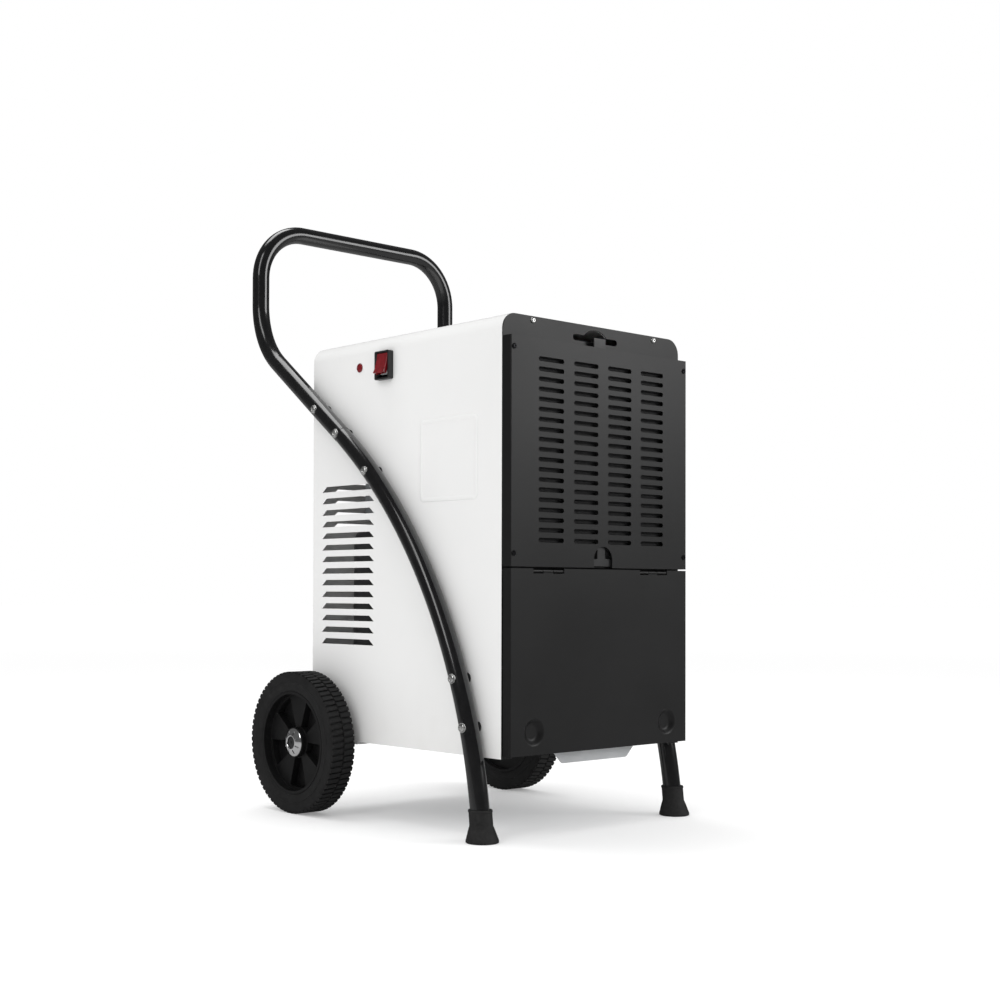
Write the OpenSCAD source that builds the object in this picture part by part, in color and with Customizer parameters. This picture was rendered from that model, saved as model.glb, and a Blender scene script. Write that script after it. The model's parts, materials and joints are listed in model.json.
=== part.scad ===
// Commercial dehumidifier on a tubular trolley.
// X runs to the right seen from the front, Y to the rear, Z up. The front edge of
// the casing is worked out at y = 0, and placed() then moves everything so that the
// origin is on the floor under the middle of the whole machine.

/* [Casing] */
// Width of the casing over its sides
casing_w = 335; // [315:1:410]
// Depth of the casing from front edge to back
casing_d = 401; // [390:1:490]
// Height of the casing from its lower edge to its top
casing_h = 562; // [552:1:690]
// Outside radius of the bend along both top edges
casing_r = 21; // [12:1:26]
// Thickness of the casing's sheet steel
sheet = 1.2; // [0.8:0.1:1.6]
// Width of the turned-in edge round the front and the back
edge_flange = 14; // [10:1:16]
// Height by which the casing's skirt hangs below the base
skirt = 6; // [4:1:10]

/* [Front panels] */
// Thickness of the black plate on the front of the casing
plate_t = 1.5; // [1:0.1:2]
// Distance from the front edge of the casing to the panels' faces
panel_proj = 16.3; // [15:0.1:20]
// Thickness of the sheet of the grille and of the flap
panel_t = 1.5; // [1:0.1:1.8]
// Height of the grille panel
grille_h = 290; // [288:1:300]
// Height of the flap over the tank
flap_h = 235.6; // [230:0.1:240]
// Gap between the flap and the grille panel
panel_gap = 2; // [1.5:0.1:3]
// Height of the flap's lower edge above the casing's lower edge
flap_rise = 3.8; // [2:0.1:8]
// Width of the plate left on each side of the air opening
air_side = 19.5; // [17:0.5:26]

/* [Grille slots] */
// Number of slot columns
slot_cols = 4; // [2:1:4]
// Number of slots in a column
slot_rows = 19; // [4:1:19]
// Length of a slot
slot_len = 45.5; // [30:0.5:52]
// Height of a slot
slot_h = 6; // [4:0.5:8]
// Distance between slot columns
slot_pitch_x = 64; // [60:0.5:68]
// Distance between slots in a column
slot_pitch_z = 12.8; // [10:0.1:13]
// Height of the lowest slot above the grille's lower edge
slot_first = 34; // [32:1:40]

/* [Trolley] */
// Outside diameter of the frame tube
tube_d = 25; // [20:0.5:30]
// Wall of the frame tube
tube_wall = 1.5; // [1:0.1:2]
// Space between the frame tube and the casing
tube_gap = 2.5; // [1.5:0.5:5]
// Height of the top of the handle above the floor
handle_top = 872; // [860:1:980]
// Distance from the back of the casing to the handle's middle
handle_back = 116; // [100:1:130]
// Distance of a foot's middle behind the front of the casing
foot_y = 17.8; // [12:0.1:30]
// Lean of the leg where it enters the foot, in degrees
foot_lean = 6.2; // [4:0.1:8]
// Radius of the long bend of the leg
leg_r = 740; // [700:1:780]
// Radius of the bend up to the handle
shoulder_r = 116; // [60:2:130]
// Radius of the handle's two corners
handle_r = 75; // [50:1:110]
// Diameter of a rubber foot at the floor
foot_d = 42; // [38:1:50]
// Height of a rubber foot
foot_h = 41; // [35:1:50]

/* [Wheels] */
// Diameter of a wheel
wheel_d = 200; // [180:1:240]
// Width of a tyre
tyre_w = 40.7; // [34:0.1:50]
// Diameter of the wheel's plastic rim
rim_d = 144.8; // [130:0.1:150]
// Diameter of the axle
axle_d = 12; // [10:0.5:16]
// Distance of the axle in front of the back of the casing
axle_inset = 22; // [20:1:30]
// Gap between the inside of a tyre and the casing
wheel_gap = 14; // [12:0.5:22]
// Space between the axle and the base above it
axle_gap = 4; // [3:0.5:8]

/* [Tank] */
// Height of the tank above the base
tank_h = 132; // [110:1:134]
// Depth of the tank from front to back
tank_d = 200; // [180:1:205]
// Wall of the tank
tank_wall = 2.5; // [2:0.1:3]
// Depth of the sump below the tank's floor
sump_h = 21; // [18:1:24]
// Width of the sump at its lower face
sump_w = 122; // [100:1:126]
// How far the tank slides out
tank_travel = 250; // [200:1:250]

/* [Refrigeration] */
// Outside diameter of the compressor
comp_d = 120; // [100:1:124]
// Height of the compressor
comp_h = 274; // [240:1:276]
// Number of tube passes in each coil
passes = 8; // [6:2:8]
// Height between two passes
pass_pitch = 34; // [28:1:34]
// Outside diameter of the coils' copper tube
coil_tube_d = 9.5; // [8:0.5:10]
// Number of fins on each coil
fins = 30; // [10:1:40]
// Outside diameter of the fan
fan_d = 242; // [220:1:243]
// Number of fan blades
blades = 5; // [3:1:7]

/* [Clearances] */
// Radial clearance of a turning pin, shaft or axle in its bore
run_fit = 0.05; // [0.02:0.01:0.1]
// Radial clearance of a screw or tube in its hole
hole_fit = 0.1; // [0.05:0.01:0.3]
// Space between the tank and the bay that it slides in
slide_fit = 3; // [2:0.5:5]

/* [Hidden] */
$fn = 48;
eps = 0.01;
wheel_r = wheel_d / 2;
axle_r = axle_d / 2;
tube_r = tube_d / 2;
half_w = casing_w / 2;
base_z = wheel_r + axle_r + axle_gap;
base_t = 2;
floor_z = base_z + base_t;
skirt_z = base_z - skirt;
casing_top = skirt_z + casing_h;
inner_w = casing_w - 2 * sheet;
tube_x = half_w + tube_gap + tube_r;
axle_y = casing_d - axle_inset;
wheel_x = half_w + wheel_gap + tyre_w / 2;
handle_y = casing_d + handle_back;
handle_z = handle_top - tube_r;
screw_head = 2.2;
front_y = -panel_proj - screw_head;
middle_y = (front_y + handle_y + tube_r) / 2;

face_y = -panel_proj;
flap_z = skirt_z + flap_rise;
flap_top = flap_z + flap_h;
grille_z = flap_top + panel_gap;
grille_top = grille_z + grille_h;
air_w = casing_w - 2 * air_side;
air_z = grille_z + 17;
air_h = grille_h - 20;
bay_w = casing_w - 35;
bay_z = grille_z - 27;
bay_back = 212;
roof_top = bay_z + sheet;

// The upper slope runs four along for three up, so its bends are 3-4-5 triangles
slope = [0, 0.8, 0.6];
slope_lean = asin(slope[1]);
stub = 20;
leg_a = [foot_y + stub * sin(foot_lean), stub * cos(foot_lean)];
leg_tangent = leg_r * tan((slope_lean - foot_lean) / 2);
leg_v = leg_a + leg_tangent * [sin(foot_lean), cos(foot_lean)];
leg_end = leg_v + leg_tangent * [sin(slope_lean), cos(slope_lean)];
leg_c = leg_a + leg_r * [cos(foot_lean), -sin(foot_lean)];
shoulder_z = round(10 * (leg_end[1] + (handle_y - leg_end[0]) / tan(slope_lean))) / 10;
slope_len = floor((handle_y - leg_end[0]) / slope[1]) - 1;
foot_inset = 6;

saddle_x = half_w - 67.5;
saddle_bolts = [-5.5, 5.5];
frame_screw_d = 6;
frame_screw_z = [for (rise = [38, 99, 374, 430, 468]) skirt_z + rise];
hinge_d = 5;
hinge_pin_d = 2.6;
hinge_y = face_y + hinge_d / 2 + 0.8;
hinge_z = flap_top - 3.4;
hinge_w = 54;
hinge_x = 100;
hinge_leaf_t = 1;

filter_t = 8;
filter_y = face_y + panel_t + 1.8;
filter_w = casing_w - 31;
filter_z = grille_z + panel_t + 0.3;
filter_h = grille_h - 6;
filter_border = 10;
filter_tab_w = 22;
cut_z = casing_top - 22;

grille_screw_x = half_w - 5.7;
grille_screw_z = [grille_z + 16.6, grille_top - 14.4];
grille_screw_d = 4;
plate_screw_x = [-115, 115];
plate_screw_z = casing_top - 5.4;
plate_screw_d = 4;

switch_y = 233;
switch_z = casing_top - 43;
switch_w = 31;
switch_h = 39;
switch_out = 8.5;
lamp_y = 292;
lamp_z = casing_top - 40;
lamp_d = 13;
rocker_tilt = 15;
rocker_h = 28;
rocker_w = 23;
rocker_face = 10.5;
rocker_pin_d = 3;
rocker_x = -half_w - 1;

tank_z = floor_z + 1;
tank_w = bay_w - 2 * slide_fit - 4;
tank_y = 7;
grip_w = 122;
grip_y = -2;
grip_drop = 16;
grip_r = 6;
sump_top_w = sump_w + 26;
slot_w = sump_top_w + 10;
float_y = tank_y + tank_d - 14;
float_z = tank_z + tank_h - 14;
float_len = 60;
float_hang = 30;
float_pin_d = 4;

tray_wall = 1.5;
tray_d = 98;
tray_y = 5;
tray_h = 24;
coil_mid = air_z + 131;
coil_left = -half_w + 35.5;
coil_right = half_w - 49.5;
coil_h = (passes - 1) * pass_pitch + 44;
coil_low = coil_mid - (passes - 1) * pass_pitch / 2;
coil_high = coil_mid + (passes - 1) * pass_pitch / 2;
evap_y = 32;
cond_y = 80;
coil_depth = 38;
coil_r = coil_tube_d / 2;
fin_t = 0.6;
pipe_x = half_w - 15.5;

shroud_y = 150;
ring_r = fan_d / 2 + 3;
fan_y = shroud_y + 5;
fan_w = 24;
fan_hub_r = 32;
shaft_d = 8;
motor_y = shroud_y + 36;
motor_d = 84;
motor_len = 60;
motor_plate_t = 2;

comp_x = 5 - saddle_x;
comp_y = casing_d - 101;
comp_z = floor_z + 18;
comp_top = comp_z + comp_h;
comp_wall = 3;
lobe_r = 75;
grommet_d = 22;
accu_x = 5;
accu_y = comp_y;
accu_d = 44;
accu_z = floor_z + 70;
accu_h = 138;
box_x = -half_w + 7.5;
box_y = 190;
box_w = 65;
box_d = 98;
box_z = comp_top + 8;
box_h = 176;
gland_x = 95;
gland_z = floor_z + 60;
gland_d = 16;
cord_d = 8;

// ---------------------------------------------------------------- shared shapes

// Puts a piece that is drawn from the casing's front edge into the part's frame
module placed() translate([0, -middle_y, 0]) children();

// Turns a shape drawn in X and Y upright, so that it stands in X and Z, thick along Y
module upright(y, t) translate([0, y + t, 0]) rotate([90, 0, 0]) linear_extrude(t) children();

// Turns a shape drawn in X and Y so that it stands in Y and Z, thick along X
module sideways(x, t) translate([x, 0, 0]) rotate([90, 0, 90]) linear_extrude(t) children();

// Round bar along X, along Y
module bar_x(x, y, z, len, d) translate([x, y, z]) rotate([0, 90, 0]) cylinder(h = len, d = d);
module bar_y(x, y, z, len, d) translate([x, y, z]) rotate([-90, 0, 0]) cylinder(h = len, d = d);

// Outline with round upper corners
module arch_plate(w, z0, z1, r) {
  translate([-w / 2, z0]) square([w, z1 - z0 - r]);
  translate([-w / 2 + r, z0]) square([w - 2 * r, z1 - z0]);
  for (s = [-1, 1]) translate([s * (w / 2 - r), z1 - r]) circle(r);
}

// The casing's outline, drawn in by a distance
module casing_outline(inset) arch_plate(casing_w - 2 * inset, skirt_z, casing_top - inset, casing_r - inset);

// Slot with round ends, centred
module stadium(len, h) {
  square([len - h, h], center = true);
  for (s = [-1, 1]) translate([s * (len - h) / 2, 0]) circle(d = h);
}

// One louvre's opening, its lower edge at the origin
module louvre() polygon([[-60, 0], [60, 0], [50, 7.8], [-50, 7.8]]);

function unit(v) = v / norm(v);

// Length along each side that the bend at a corner takes up
function bend_cut(p, i, r) = r * tan(acos(unit(p[i] - p[i - 1]) * unit(p[i + 1] - p[i])) / 2);

// Ring section of a pipe
module pipe_section(d, wall) difference() {
  circle(d = d);
  if (wall > 0) circle(d = d - 2 * wall);
}

// Stands children along the direction v, starting at a
module along(a, v) translate(a) rotate([0, acos(v[2] / norm(v)), atan2(v[1], v[0])]) children();

// Straight run of pipe from a to b
module pipe_run(a, b, d, wall)
  if (norm(b - a) > 0.05) along(a, b - a) linear_extrude(norm(b - a)) pipe_section(d, wall);

// Bend of pipe round the corner p[i]
module pipe_bend(p, i, d, wall, r) {
  u = unit(p[i] - p[i - 1]);
  w = unit(p[i + 1] - p[i]);
  n = unit(w - u * (u * w));
  start = p[i] - u * bend_cut(p, i, r);
  c = start + n * r;
  k = cross(-n, u);
  multmatrix([
    [-n[0], u[0], k[0], c[0]],
    [-n[1], u[1], k[1], c[1]],
    [-n[2], u[2], k[2], c[2]],
    [0, 0, 0, 1]])
    rotate_extrude(angle = acos(u * w)) translate([r, 0]) pipe_section(d, wall);
}

// Pipe through the points p, with a bend radius for each inner point
module pipe(p, d, wall, radii) {
  last = len(p) - 1;
  for (i = [1 : last]) {
    cut_a = i > 1 ? bend_cut(p, i - 1, radii[i - 2]) : 0;
    cut_b = i < last ? bend_cut(p, i, radii[i - 1]) : 0;
    u = unit(p[i] - p[i - 1]);
    pipe_run(p[i - 1] + u * cut_a, p[i] - u * cut_b, d, wall);
    if (i < last) pipe_bend(p, i, d, wall, radii[i - 1]);
  }
}

// The frame tube's middle line: its y at a height
function rail_y(z) = z < leg_end[1]
  ? leg_c[0] - leg_r * cos(asin((z - leg_c[1]) / leg_r))
  : leg_end[0] + (z - leg_end[1]) * tan(slope_lean);

module mirrored_x() {
  children();
  mirror([1, 0, 0]) children();
}

// ---------------------------------------------------------------- casing

module side_openings() {
  for (i = [0 : 13]) translate([casing_d - 82, casing_top - 427 + i * 16.64]) louvre();
}

module rear_openings() {
  for (s = [-1, 1]) for (i = [0 : 9]) translate([s * 74, casing_top - 260.6 + i * 16.64]) louvre();
}

// Finger opening over the filter's tab
module finger_opening() {
  translate([0, cut_z + 4]) stadium(84, 8);
  intersection() {
    translate([0, cut_z - 13]) circle(r = 30);
    translate([-22, cut_z - 8]) square([44, 40]);
  }
}

module casing() {
  color("white") placed() difference() {
    union() {
      upright(0, casing_d) difference() {
        casing_outline(0);
        casing_outline(sheet);
        translate([-half_w, skirt_z - 1]) square([casing_w, 1]);
        translate([-inner_w / 2, skirt_z - eps]) square([inner_w, casing_r]);
      }
      for (y = [0, casing_d - 2 * sheet]) upright(y, sheet) difference() {
        casing_outline(sheet / 2);
        casing_outline(edge_flange);
        translate([-half_w + edge_flange, skirt_z - eps]) square([casing_w - 2 * edge_flange, casing_r]);
        translate([-half_w, skirt_z - eps]) square([casing_w, skirt + base_t + 0.5]);
      }
      sideways(-half_w - 0.8, 1.2) difference() {
        translate([45, casing_top - 234]) square([115, 110]);
        translate([49, casing_top - 230]) square([107, 102]);
      }
      sideways(half_w - 0.4, 1.2) difference() {
        translate([45, casing_top - 234]) square([115, 110]);
        translate([49, casing_top - 230]) square([107, 102]);
      }
    }
    sideways(-half_w - 5, casing_w + 10) side_openings();
    for (z = frame_screw_z) bar_x(-half_w - 5, rail_y(z), z, casing_w + 10, frame_screw_d + 2 * hole_fit);
    bar_x(-half_w - 5, axle_y, base_z - axle_gap - axle_r, casing_w + 10, axle_d + 2);
    translate([-half_w - 5, switch_y - switch_w / 2 + 2, switch_z - switch_h / 2 + 2])
      cube([12, switch_w - 4, switch_h - 4]);
    bar_x(-half_w - 5, lamp_y, lamp_z, 10, lamp_d - 4 + 2 * hole_fit);
    upright(-1, 4) finger_opening();
    for (x = plate_screw_x) bar_y(x, -1, plate_screw_z, 4, plate_screw_d + 2 * hole_fit);
  }
}

module base_pan() {
  w = inner_w - 1;
  color("silver") placed() difference() {
    union() {
      translate([-w / 2, 1, base_z]) cube([w, casing_d - 3 - 2 * sheet, base_t]);
      for (s = [-1, 1]) translate([s * (w / 2 - sheet / 2) - sheet / 2, 3, base_z])
        cube([sheet, casing_d - 8 - 2 * sheet, 18]);
      translate([-w / 2 + 15, casing_d - 4 - 2 * sheet, base_z]) cube([w - 30, sheet, 18]);
    }
    translate([-slot_w / 2, -1, base_z - 1]) cube([slot_w, tank_y + tank_d + 1, base_t + 2]);
    for (a = [0, 120, 240])
      translate([comp_x + lobe_r * cos(a), comp_y + lobe_r * sin(a), base_z - 1])
        cylinder(h = 30, d = 6 + 2 * hole_fit);
    for (s = [-1, 1]) for (x = saddle_bolts) translate([s * (saddle_x + x), axle_y - 18, base_z - 1])
      cylinder(h = 5, d = 5 + 2 * hole_fit);
  }
}

module rear_panel() {
  color("white") placed() difference() {
    union() {
      upright(casing_d - sheet, sheet) intersection() {
        casing_outline(sheet + 0.4);
        translate([-half_w, base_z + base_t + 1]) square([casing_w, casing_h]);
      }
    }
    upright(casing_d - 3, 6) rear_openings();
    bar_y(gland_x, casing_d - 5, gland_z, 10, gland_d + 2 * hole_fit);
  }
}

// ---------------------------------------------------------------- front

module front_plate() {
  color("#202020") placed() difference() {
    upright(-plate_t, plate_t) difference() {
      casing_outline(0);
      translate([-air_w / 2, air_z]) square([air_w, air_h]);
      translate([-bay_w / 2, skirt_z - 1]) square([bay_w, bay_z - skirt_z + 1]);
      finger_opening();
    }
    for (x = plate_screw_x) bar_y(x, -5, plate_screw_z, 10, plate_screw_d + 2 * hole_fit);
    for (s = [-1, 1]) for (z = grille_screw_z)
      bar_y(s * grille_screw_x, -5, z, 10, grille_screw_d + 2 * hole_fit);
  }
}

module plate_screws() {
  color("silver") placed() for (x = plate_screw_x) {
    bar_y(x, -plate_t - screw_head, plate_screw_z, screw_head, 8);
    bar_y(x, -plate_t, plate_screw_z, 12, plate_screw_d);
  }
}

// Folded sheet open at the back: face and two sides
module folded_panel(z, h, back) {
  upright(face_y, panel_t) translate([-half_w, z]) square([casing_w, h]);
  for (x = [-half_w, half_w - panel_t]) translate([x, face_y, z]) cube([panel_t, back - face_y, h]);
}

module grille_panel() {
  color("#181818") placed() difference() {
    union() {
      folded_panel(grille_z, grille_h, -plate_t);
      translate([-half_w, face_y, grille_z]) cube([casing_w, panel_proj - plate_t - 1.5, panel_t]);
    }
    upright(face_y - 1, panel_t + 2) for (c = [0 : slot_cols - 1]) for (r = [0 : slot_rows - 1])
      translate([(c - (slot_cols - 1) / 2) * slot_pitch_x, grille_z + slot_first + r * slot_pitch_z])
        stadium(slot_len, slot_h);
    upright(face_y - 1, panel_t + 2) {
      translate([0, grille_z + 10.5]) circle(d = 35);
      translate([-17.5, grille_z - 1]) square([35, 11.5]);
    }
    for (s = [-1, 1]) for (z = grille_screw_z)
      bar_y(s * grille_screw_x, face_y - 1, z, panel_t + 2, grille_screw_d + 2 * hole_fit);
  }
}

module grille_standoffs() {
  len = panel_proj - panel_t - plate_t;
  color("dimgray") placed() for (s = [-1, 1]) for (z = grille_screw_z) difference() {
    bar_y(s * grille_screw_x, face_y + panel_t, z, len, 8);
    bar_y(s * grille_screw_x, face_y, z, len + 5, grille_screw_d + 2 * hole_fit);
  }
}

module grille_screws() {
  color("black") placed() for (s = [-1, 1]) for (z = grille_screw_z) {
    bar_y(s * grille_screw_x, face_y - screw_head, z, screw_head, 7);
    bar_y(s * grille_screw_x, face_y, z, panel_proj - 0.5, grille_screw_d);
  }
}

// Round pressed dish in the flap
module dish() rotate([-90, 0, 0]) rotate_extrude()
  polygon([[0, 5], [9, 5], [16, 0], [18, 0], [18, panel_t], [16.8, panel_t], [9.6, 6.5], [0, 6.5]]);

module flap() {
  back = -plate_t - 1.5;
  color("#181818") placed() difference() {
    union() {
      folded_panel(flap_z, flap_h, back);
      translate([-half_w, face_y, flap_z]) cube([casing_w, 10, panel_t]);
      for (s = [-1, 1]) translate([s * 126, face_y, flap_z + 29]) dish();
    }
    for (s = [-1, 1]) {
      translate([s * 126, face_y + 4.4, flap_z + 29]) rotate([90, 0, 0]) cylinder(h = 8, r1 = 9.9, r2 = 21);
      translate([s * hinge_x - hinge_w / 2 - 0.5, face_y - 1, hinge_z - hinge_d / 2 - 0.4])
        cube([hinge_w + 1, panel_proj, 10]);
    }
    translate([-half_w - 1, hinge_y + 6, hinge_z - 14]) cube([casing_w + 2, 20, 30]);
  }
}

module hinge_barrels(parts) for (s = [-1, 1]) for (i = parts)
  bar_x(s * hinge_x - hinge_w / 2 + i * hinge_w / 3 + 0.2, hinge_y, hinge_z, hinge_w / 3 - 0.4, hinge_d);

module hinge_leaves_fixed() {
  color("#222222") placed() difference() {
    union() {
      hinge_barrels([0, 2]);
      for (s = [-1, 1]) for (i = [0, 2])
        translate([s * hinge_x - hinge_w / 2 + i * hinge_w / 3 + 0.2, hinge_y, hinge_z - hinge_d / 2])
          cube([hinge_w / 3 - 0.4, -plate_t - hinge_y, hinge_leaf_t]);
      for (s = [-1, 1]) translate([s * hinge_x - hinge_w / 2, -plate_t - hinge_leaf_t, hinge_z - 18])
        cube([hinge_w, hinge_leaf_t, 18]);
    }
    for (s = [-1, 1]) bar_x(s * hinge_x - hinge_w, hinge_y, hinge_z, 2 * hinge_w, hinge_pin_d);
  }
}

module hinge_leaves_moving() {
  color("#222222") placed() difference() {
    union() {
      hinge_barrels([1]);
      for (s = [-1, 1]) {
        translate([s * hinge_x - hinge_w / 6 + 0.2, face_y + panel_t, hinge_z - 20])
          cube([hinge_w / 3 - 0.4, hinge_leaf_t, 20]);
      }
    }
    for (s = [-1, 1])
      bar_x(s * hinge_x - hinge_w, hinge_y, hinge_z, 2 * hinge_w, hinge_pin_d + 2 * run_fit);
  }
}

module hinge_pins() {
  color("silver") placed() for (s = [-1, 1])
    bar_x(s * hinge_x - hinge_w / 2, hinge_y, hinge_z, hinge_w, hinge_pin_d);
}

module filter_frame() {
  color("#303030") placed() {
    upright(filter_y, filter_t) difference() {
      translate([-filter_w / 2, filter_z]) square([filter_w, filter_h]);
      for (s = [-1, 1]) translate([s * filter_w / 4 - (filter_w / 2 - 1.5 * filter_border) / 2,
        filter_z + filter_border]) square([filter_w / 2 - 1.5 * filter_border, filter_h - 2 * filter_border]);
    }
    translate([-filter_tab_w / 2, filter_y + 3, filter_z + filter_h - eps]) cube([filter_tab_w, 2, 18]);
  }
}

module filter_mesh() {
  color("dimgray") placed() for (s = [-1, 1])
    upright(filter_y + 3.5, 1)
      translate([s * filter_w / 4 - (filter_w / 2 - 1.5 * filter_border) / 2, filter_z + filter_border])
        square([filter_w / 2 - 1.5 * filter_border, filter_h - 2 * filter_border]);
}

// ---------------------------------------------------------------- tank

module sump_shape(inset) polygon([
  [-sump_w / 2 + inset, inset], [sump_w / 2 - inset, inset],
  [sump_top_w / 2 - inset, sump_h + 0.5], [-sump_top_w / 2 + inset, sump_h + 0.5]]);

// Lip that hangs just below the closed flap, to pull the tank out by
module tank_grip() {
  low = flap_z - grip_drop;
  high = flap_z - 1.5;
  mid = grip_w / 2 - grip_r * tan(22.5);
  bend = [for (a = [-90 : 15 : -45]) [mid + grip_r * cos(a), low + grip_r + grip_r * sin(a)]];
  upright(grip_y, tank_wall) polygon(concat(
    [for (i = [3 : -1 : 0]) [-bend[i][0], bend[i][1]]], bend,
    [[grip_w / 2 + high - low, high], [-grip_w / 2 - high + low, high]]));
  translate([-grip_w / 2, grip_y, high - tank_wall]) cube([grip_w, tank_y + 6 - grip_y, tank_wall]);
  translate([-grip_w / 2, tank_y - 2, high - tank_wall]) cube([grip_w, 8, tank_z - high + tank_wall + 1]);
}

module tank() {
  sump_y = tank_y + 92;
  sump_len = tank_d - 108;
  color("whitesmoke") placed() difference() {
    union() {
      translate([-tank_w / 2, tank_y, tank_z]) cube([tank_w, tank_d, tank_h]);
      translate([0, 0, tank_z - sump_h]) upright(sump_y, sump_len) sump_shape(0);
      tank_grip();
      translate([-60, tank_y - 5, tank_z + tank_h - 10]) cube([120, 6, 10]);
    }
    translate([-tank_w / 2 + tank_wall, tank_y + tank_wall, tank_z + tank_wall])
      cube([tank_w - 2 * tank_wall, tank_d - 2 * tank_wall, tank_h]);
    translate([0, 0, tank_z - sump_h]) upright(sump_y + tank_wall, sump_len - 2 * tank_wall)
      sump_shape(tank_wall);
    translate([-sump_top_w / 2 + tank_wall, sump_y + tank_wall, tank_z - 1])
      cube([sump_top_w - 2 * tank_wall, sump_len - 2 * tank_wall, tank_wall + 2]);
  }
}

// Pin on two lugs inside the tank's rear wall
module float_bracket() {
  color("gray") placed() {
    bar_x(-14, float_y, float_z, 28, float_pin_d);
    for (s = [-1, 1]) translate([s * 12.5 - 1.5, float_y, float_z - 6])
      cube([3, tank_y + tank_d - tank_wall - float_y, 12]);
  }
}

// Puts a shape drawn from the float's pin in its place, hanging down in the empty tank
module hung() placed() translate([0, float_y, float_z]) rotate([float_hang, 0, 0]) children();

module float_arm() {
  color("white") hung() difference() {
    union() {
      bar_x(-8, 0, 0, 16, 10);
      translate([-8, -float_len, -3]) cube([16, float_len, 6]);
    }
    bar_x(-20, 0, 0, 40, float_pin_d + 2 * run_fit);
  }
}

module float_block() {
  color("orange") hung() translate([-22, -float_len - 36, -12]) cube([44, 36, 22]);
}

module bay_liner() {
  w = inner_w - 5;
  color("silver") placed() difference() {
    union() {
      translate([-w / 2, 1.5, bay_z]) cube([w, bay_back + sheet - 1.5, sheet]);
      translate([-w / 2, bay_back, floor_z]) cube([w, sheet, bay_z - floor_z + sheet]);
      for (s = [-1, 1]) translate([s * (bay_w / 2 + sheet / 2) - sheet / 2, 1.5, floor_z])
        cube([sheet, bay_back - 1.5 + eps, bay_z - floor_z + eps]);
    }
    translate([0, 60, bay_z - 1]) cylinder(h = 5, d = 18);
  }
}

module drip_tray() {
  w = casing_w - 35;
  color("#444444") placed() difference() {
    union() {
      translate([-w / 2, tray_y, roof_top]) cube([w, tray_d, tray_h]);
      translate([0, 60, roof_top - 20]) cylinder(h = 21, d = 16);
    }
    translate([-w / 2 + tray_wall, tray_y + tray_wall, roof_top + tray_wall])
      cube([w - 2 * tray_wall, tray_d - 2 * tray_wall, tray_h]);
    translate([0, 60, roof_top - 21]) cylinder(h = 30, d = 12);
  }
}

// ---------------------------------------------------------------- coils

module coil_fins(y, foot) {
  pitch = (coil_right - coil_left) / (fins - 1);
  low = coil_mid - coil_h / 2;
  for (i = [0 : fins - 1]) {
    is_end = i == 0 || i == fins - 1;
    t = is_end ? 2 * fin_t : fin_t;
    z0 = is_end ? foot : low;
    sideways(coil_left + i * pitch - t / 2, t) difference() {
      translate([y - coil_depth / 2, z0]) square([coil_depth, low + coil_h - z0]);
      for (k = [0 : passes - 1]) translate([y, coil_low + k * pass_pitch])
        circle(d = coil_tube_d + 2 * hole_fit);
    }
  }
}

// One copper tube that runs to and fro through the fins
module serpentine(y) {
  over = 5;
  for (k = [0 : passes - 1])
    pipe_run([coil_left - over, y, coil_low + k * pass_pitch],
      [coil_right + over, y, coil_low + k * pass_pitch], coil_tube_d, 0.8);
  for (k = [0 : passes - 2]) {
    x = k % 2 == 0 ? coil_left - over : coil_right + over;
    translate([x, y, coil_low + (k + 0.5) * pass_pitch]) rotate([90, k % 2 == 0 ? -90 : 90, 0])
      rotate_extrude(angle = 180) translate([pass_pitch / 2, 0]) pipe_section(coil_tube_d, 0.8);
  }
}

module evaporator_fins() {
  color("#c8c8c8") placed() coil_fins(evap_y, roof_top + tray_wall);
}

module condenser_fins() {
  color("#c8c8c8") placed() coil_fins(cond_y, roof_top + tray_wall);
}

module evaporator_tube() {
  color("#b87333") placed() serpentine(evap_y);
}

module condenser_tube() {
  color("#b87333") placed() serpentine(cond_y);
}

// ---------------------------------------------------------------- fan

module fan_shroud() {
  color("silver") placed() {
    difference() {
      upright(shroud_y, sheet) difference() {
        intersection() {
          casing_outline(sheet + 1);
          translate([-half_w, roof_top]) square([casing_w, casing_h]);
        }
        translate([0, coil_mid]) circle(r = ring_r);
      }
      for (z = [coil_high, coil_high + 24]) bar_y(pipe_x, shroud_y - 5, z, 12, 14);
    }
    translate([0, shroud_y, coil_mid]) rotate([-90, 0, 0]) difference() {
      cylinder(h = 30, r = ring_r + sheet);
      translate([0, 0, -1]) cylinder(h = 32, r = ring_r);
    }
  }
}

// A blade is a slice of a pitched plate between the hub and the fan's rim
module fan_rotor() {
  color("#303030") placed() translate([0, fan_y, coil_mid]) rotate([-90, 0, 0]) difference() {
    union() {
      cylinder(h = fan_w, r = fan_hub_r);
      intersection() {
        difference() {
          cylinder(h = fan_w, d = fan_d);
          translate([0, 0, -1]) cylinder(h = fan_w + 2, r = fan_hub_r - 1);
        }
        for (i = [0 : blades - 1]) rotate([0, 0, i * 360 / blades]) translate([0, 0, fan_w / 2])
          rotate([28, 0, 0]) translate([0, -38, -1]) cube([fan_d / 2 + 5, 76, 2]);
      }
    }
    translate([0, 0, -1]) cylinder(h = fan_w + 2, d = shaft_d);
  }
}

module fan_shaft() {
  color("silver") placed() bar_y(0, fan_y - 4, coil_mid, motor_y + 30 - fan_y + 4, shaft_d);
}

module fan_motor() {
  color("#505050") placed() difference() {
    union() {
      bar_y(0, motor_y, coil_mid, motor_len, motor_d);
      bar_y(0, motor_y - 1, coil_mid, 2, 30);
    }
    bar_y(0, motor_y - 5, coil_mid, 40, shaft_d + 2 * run_fit);
  }
}

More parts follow.
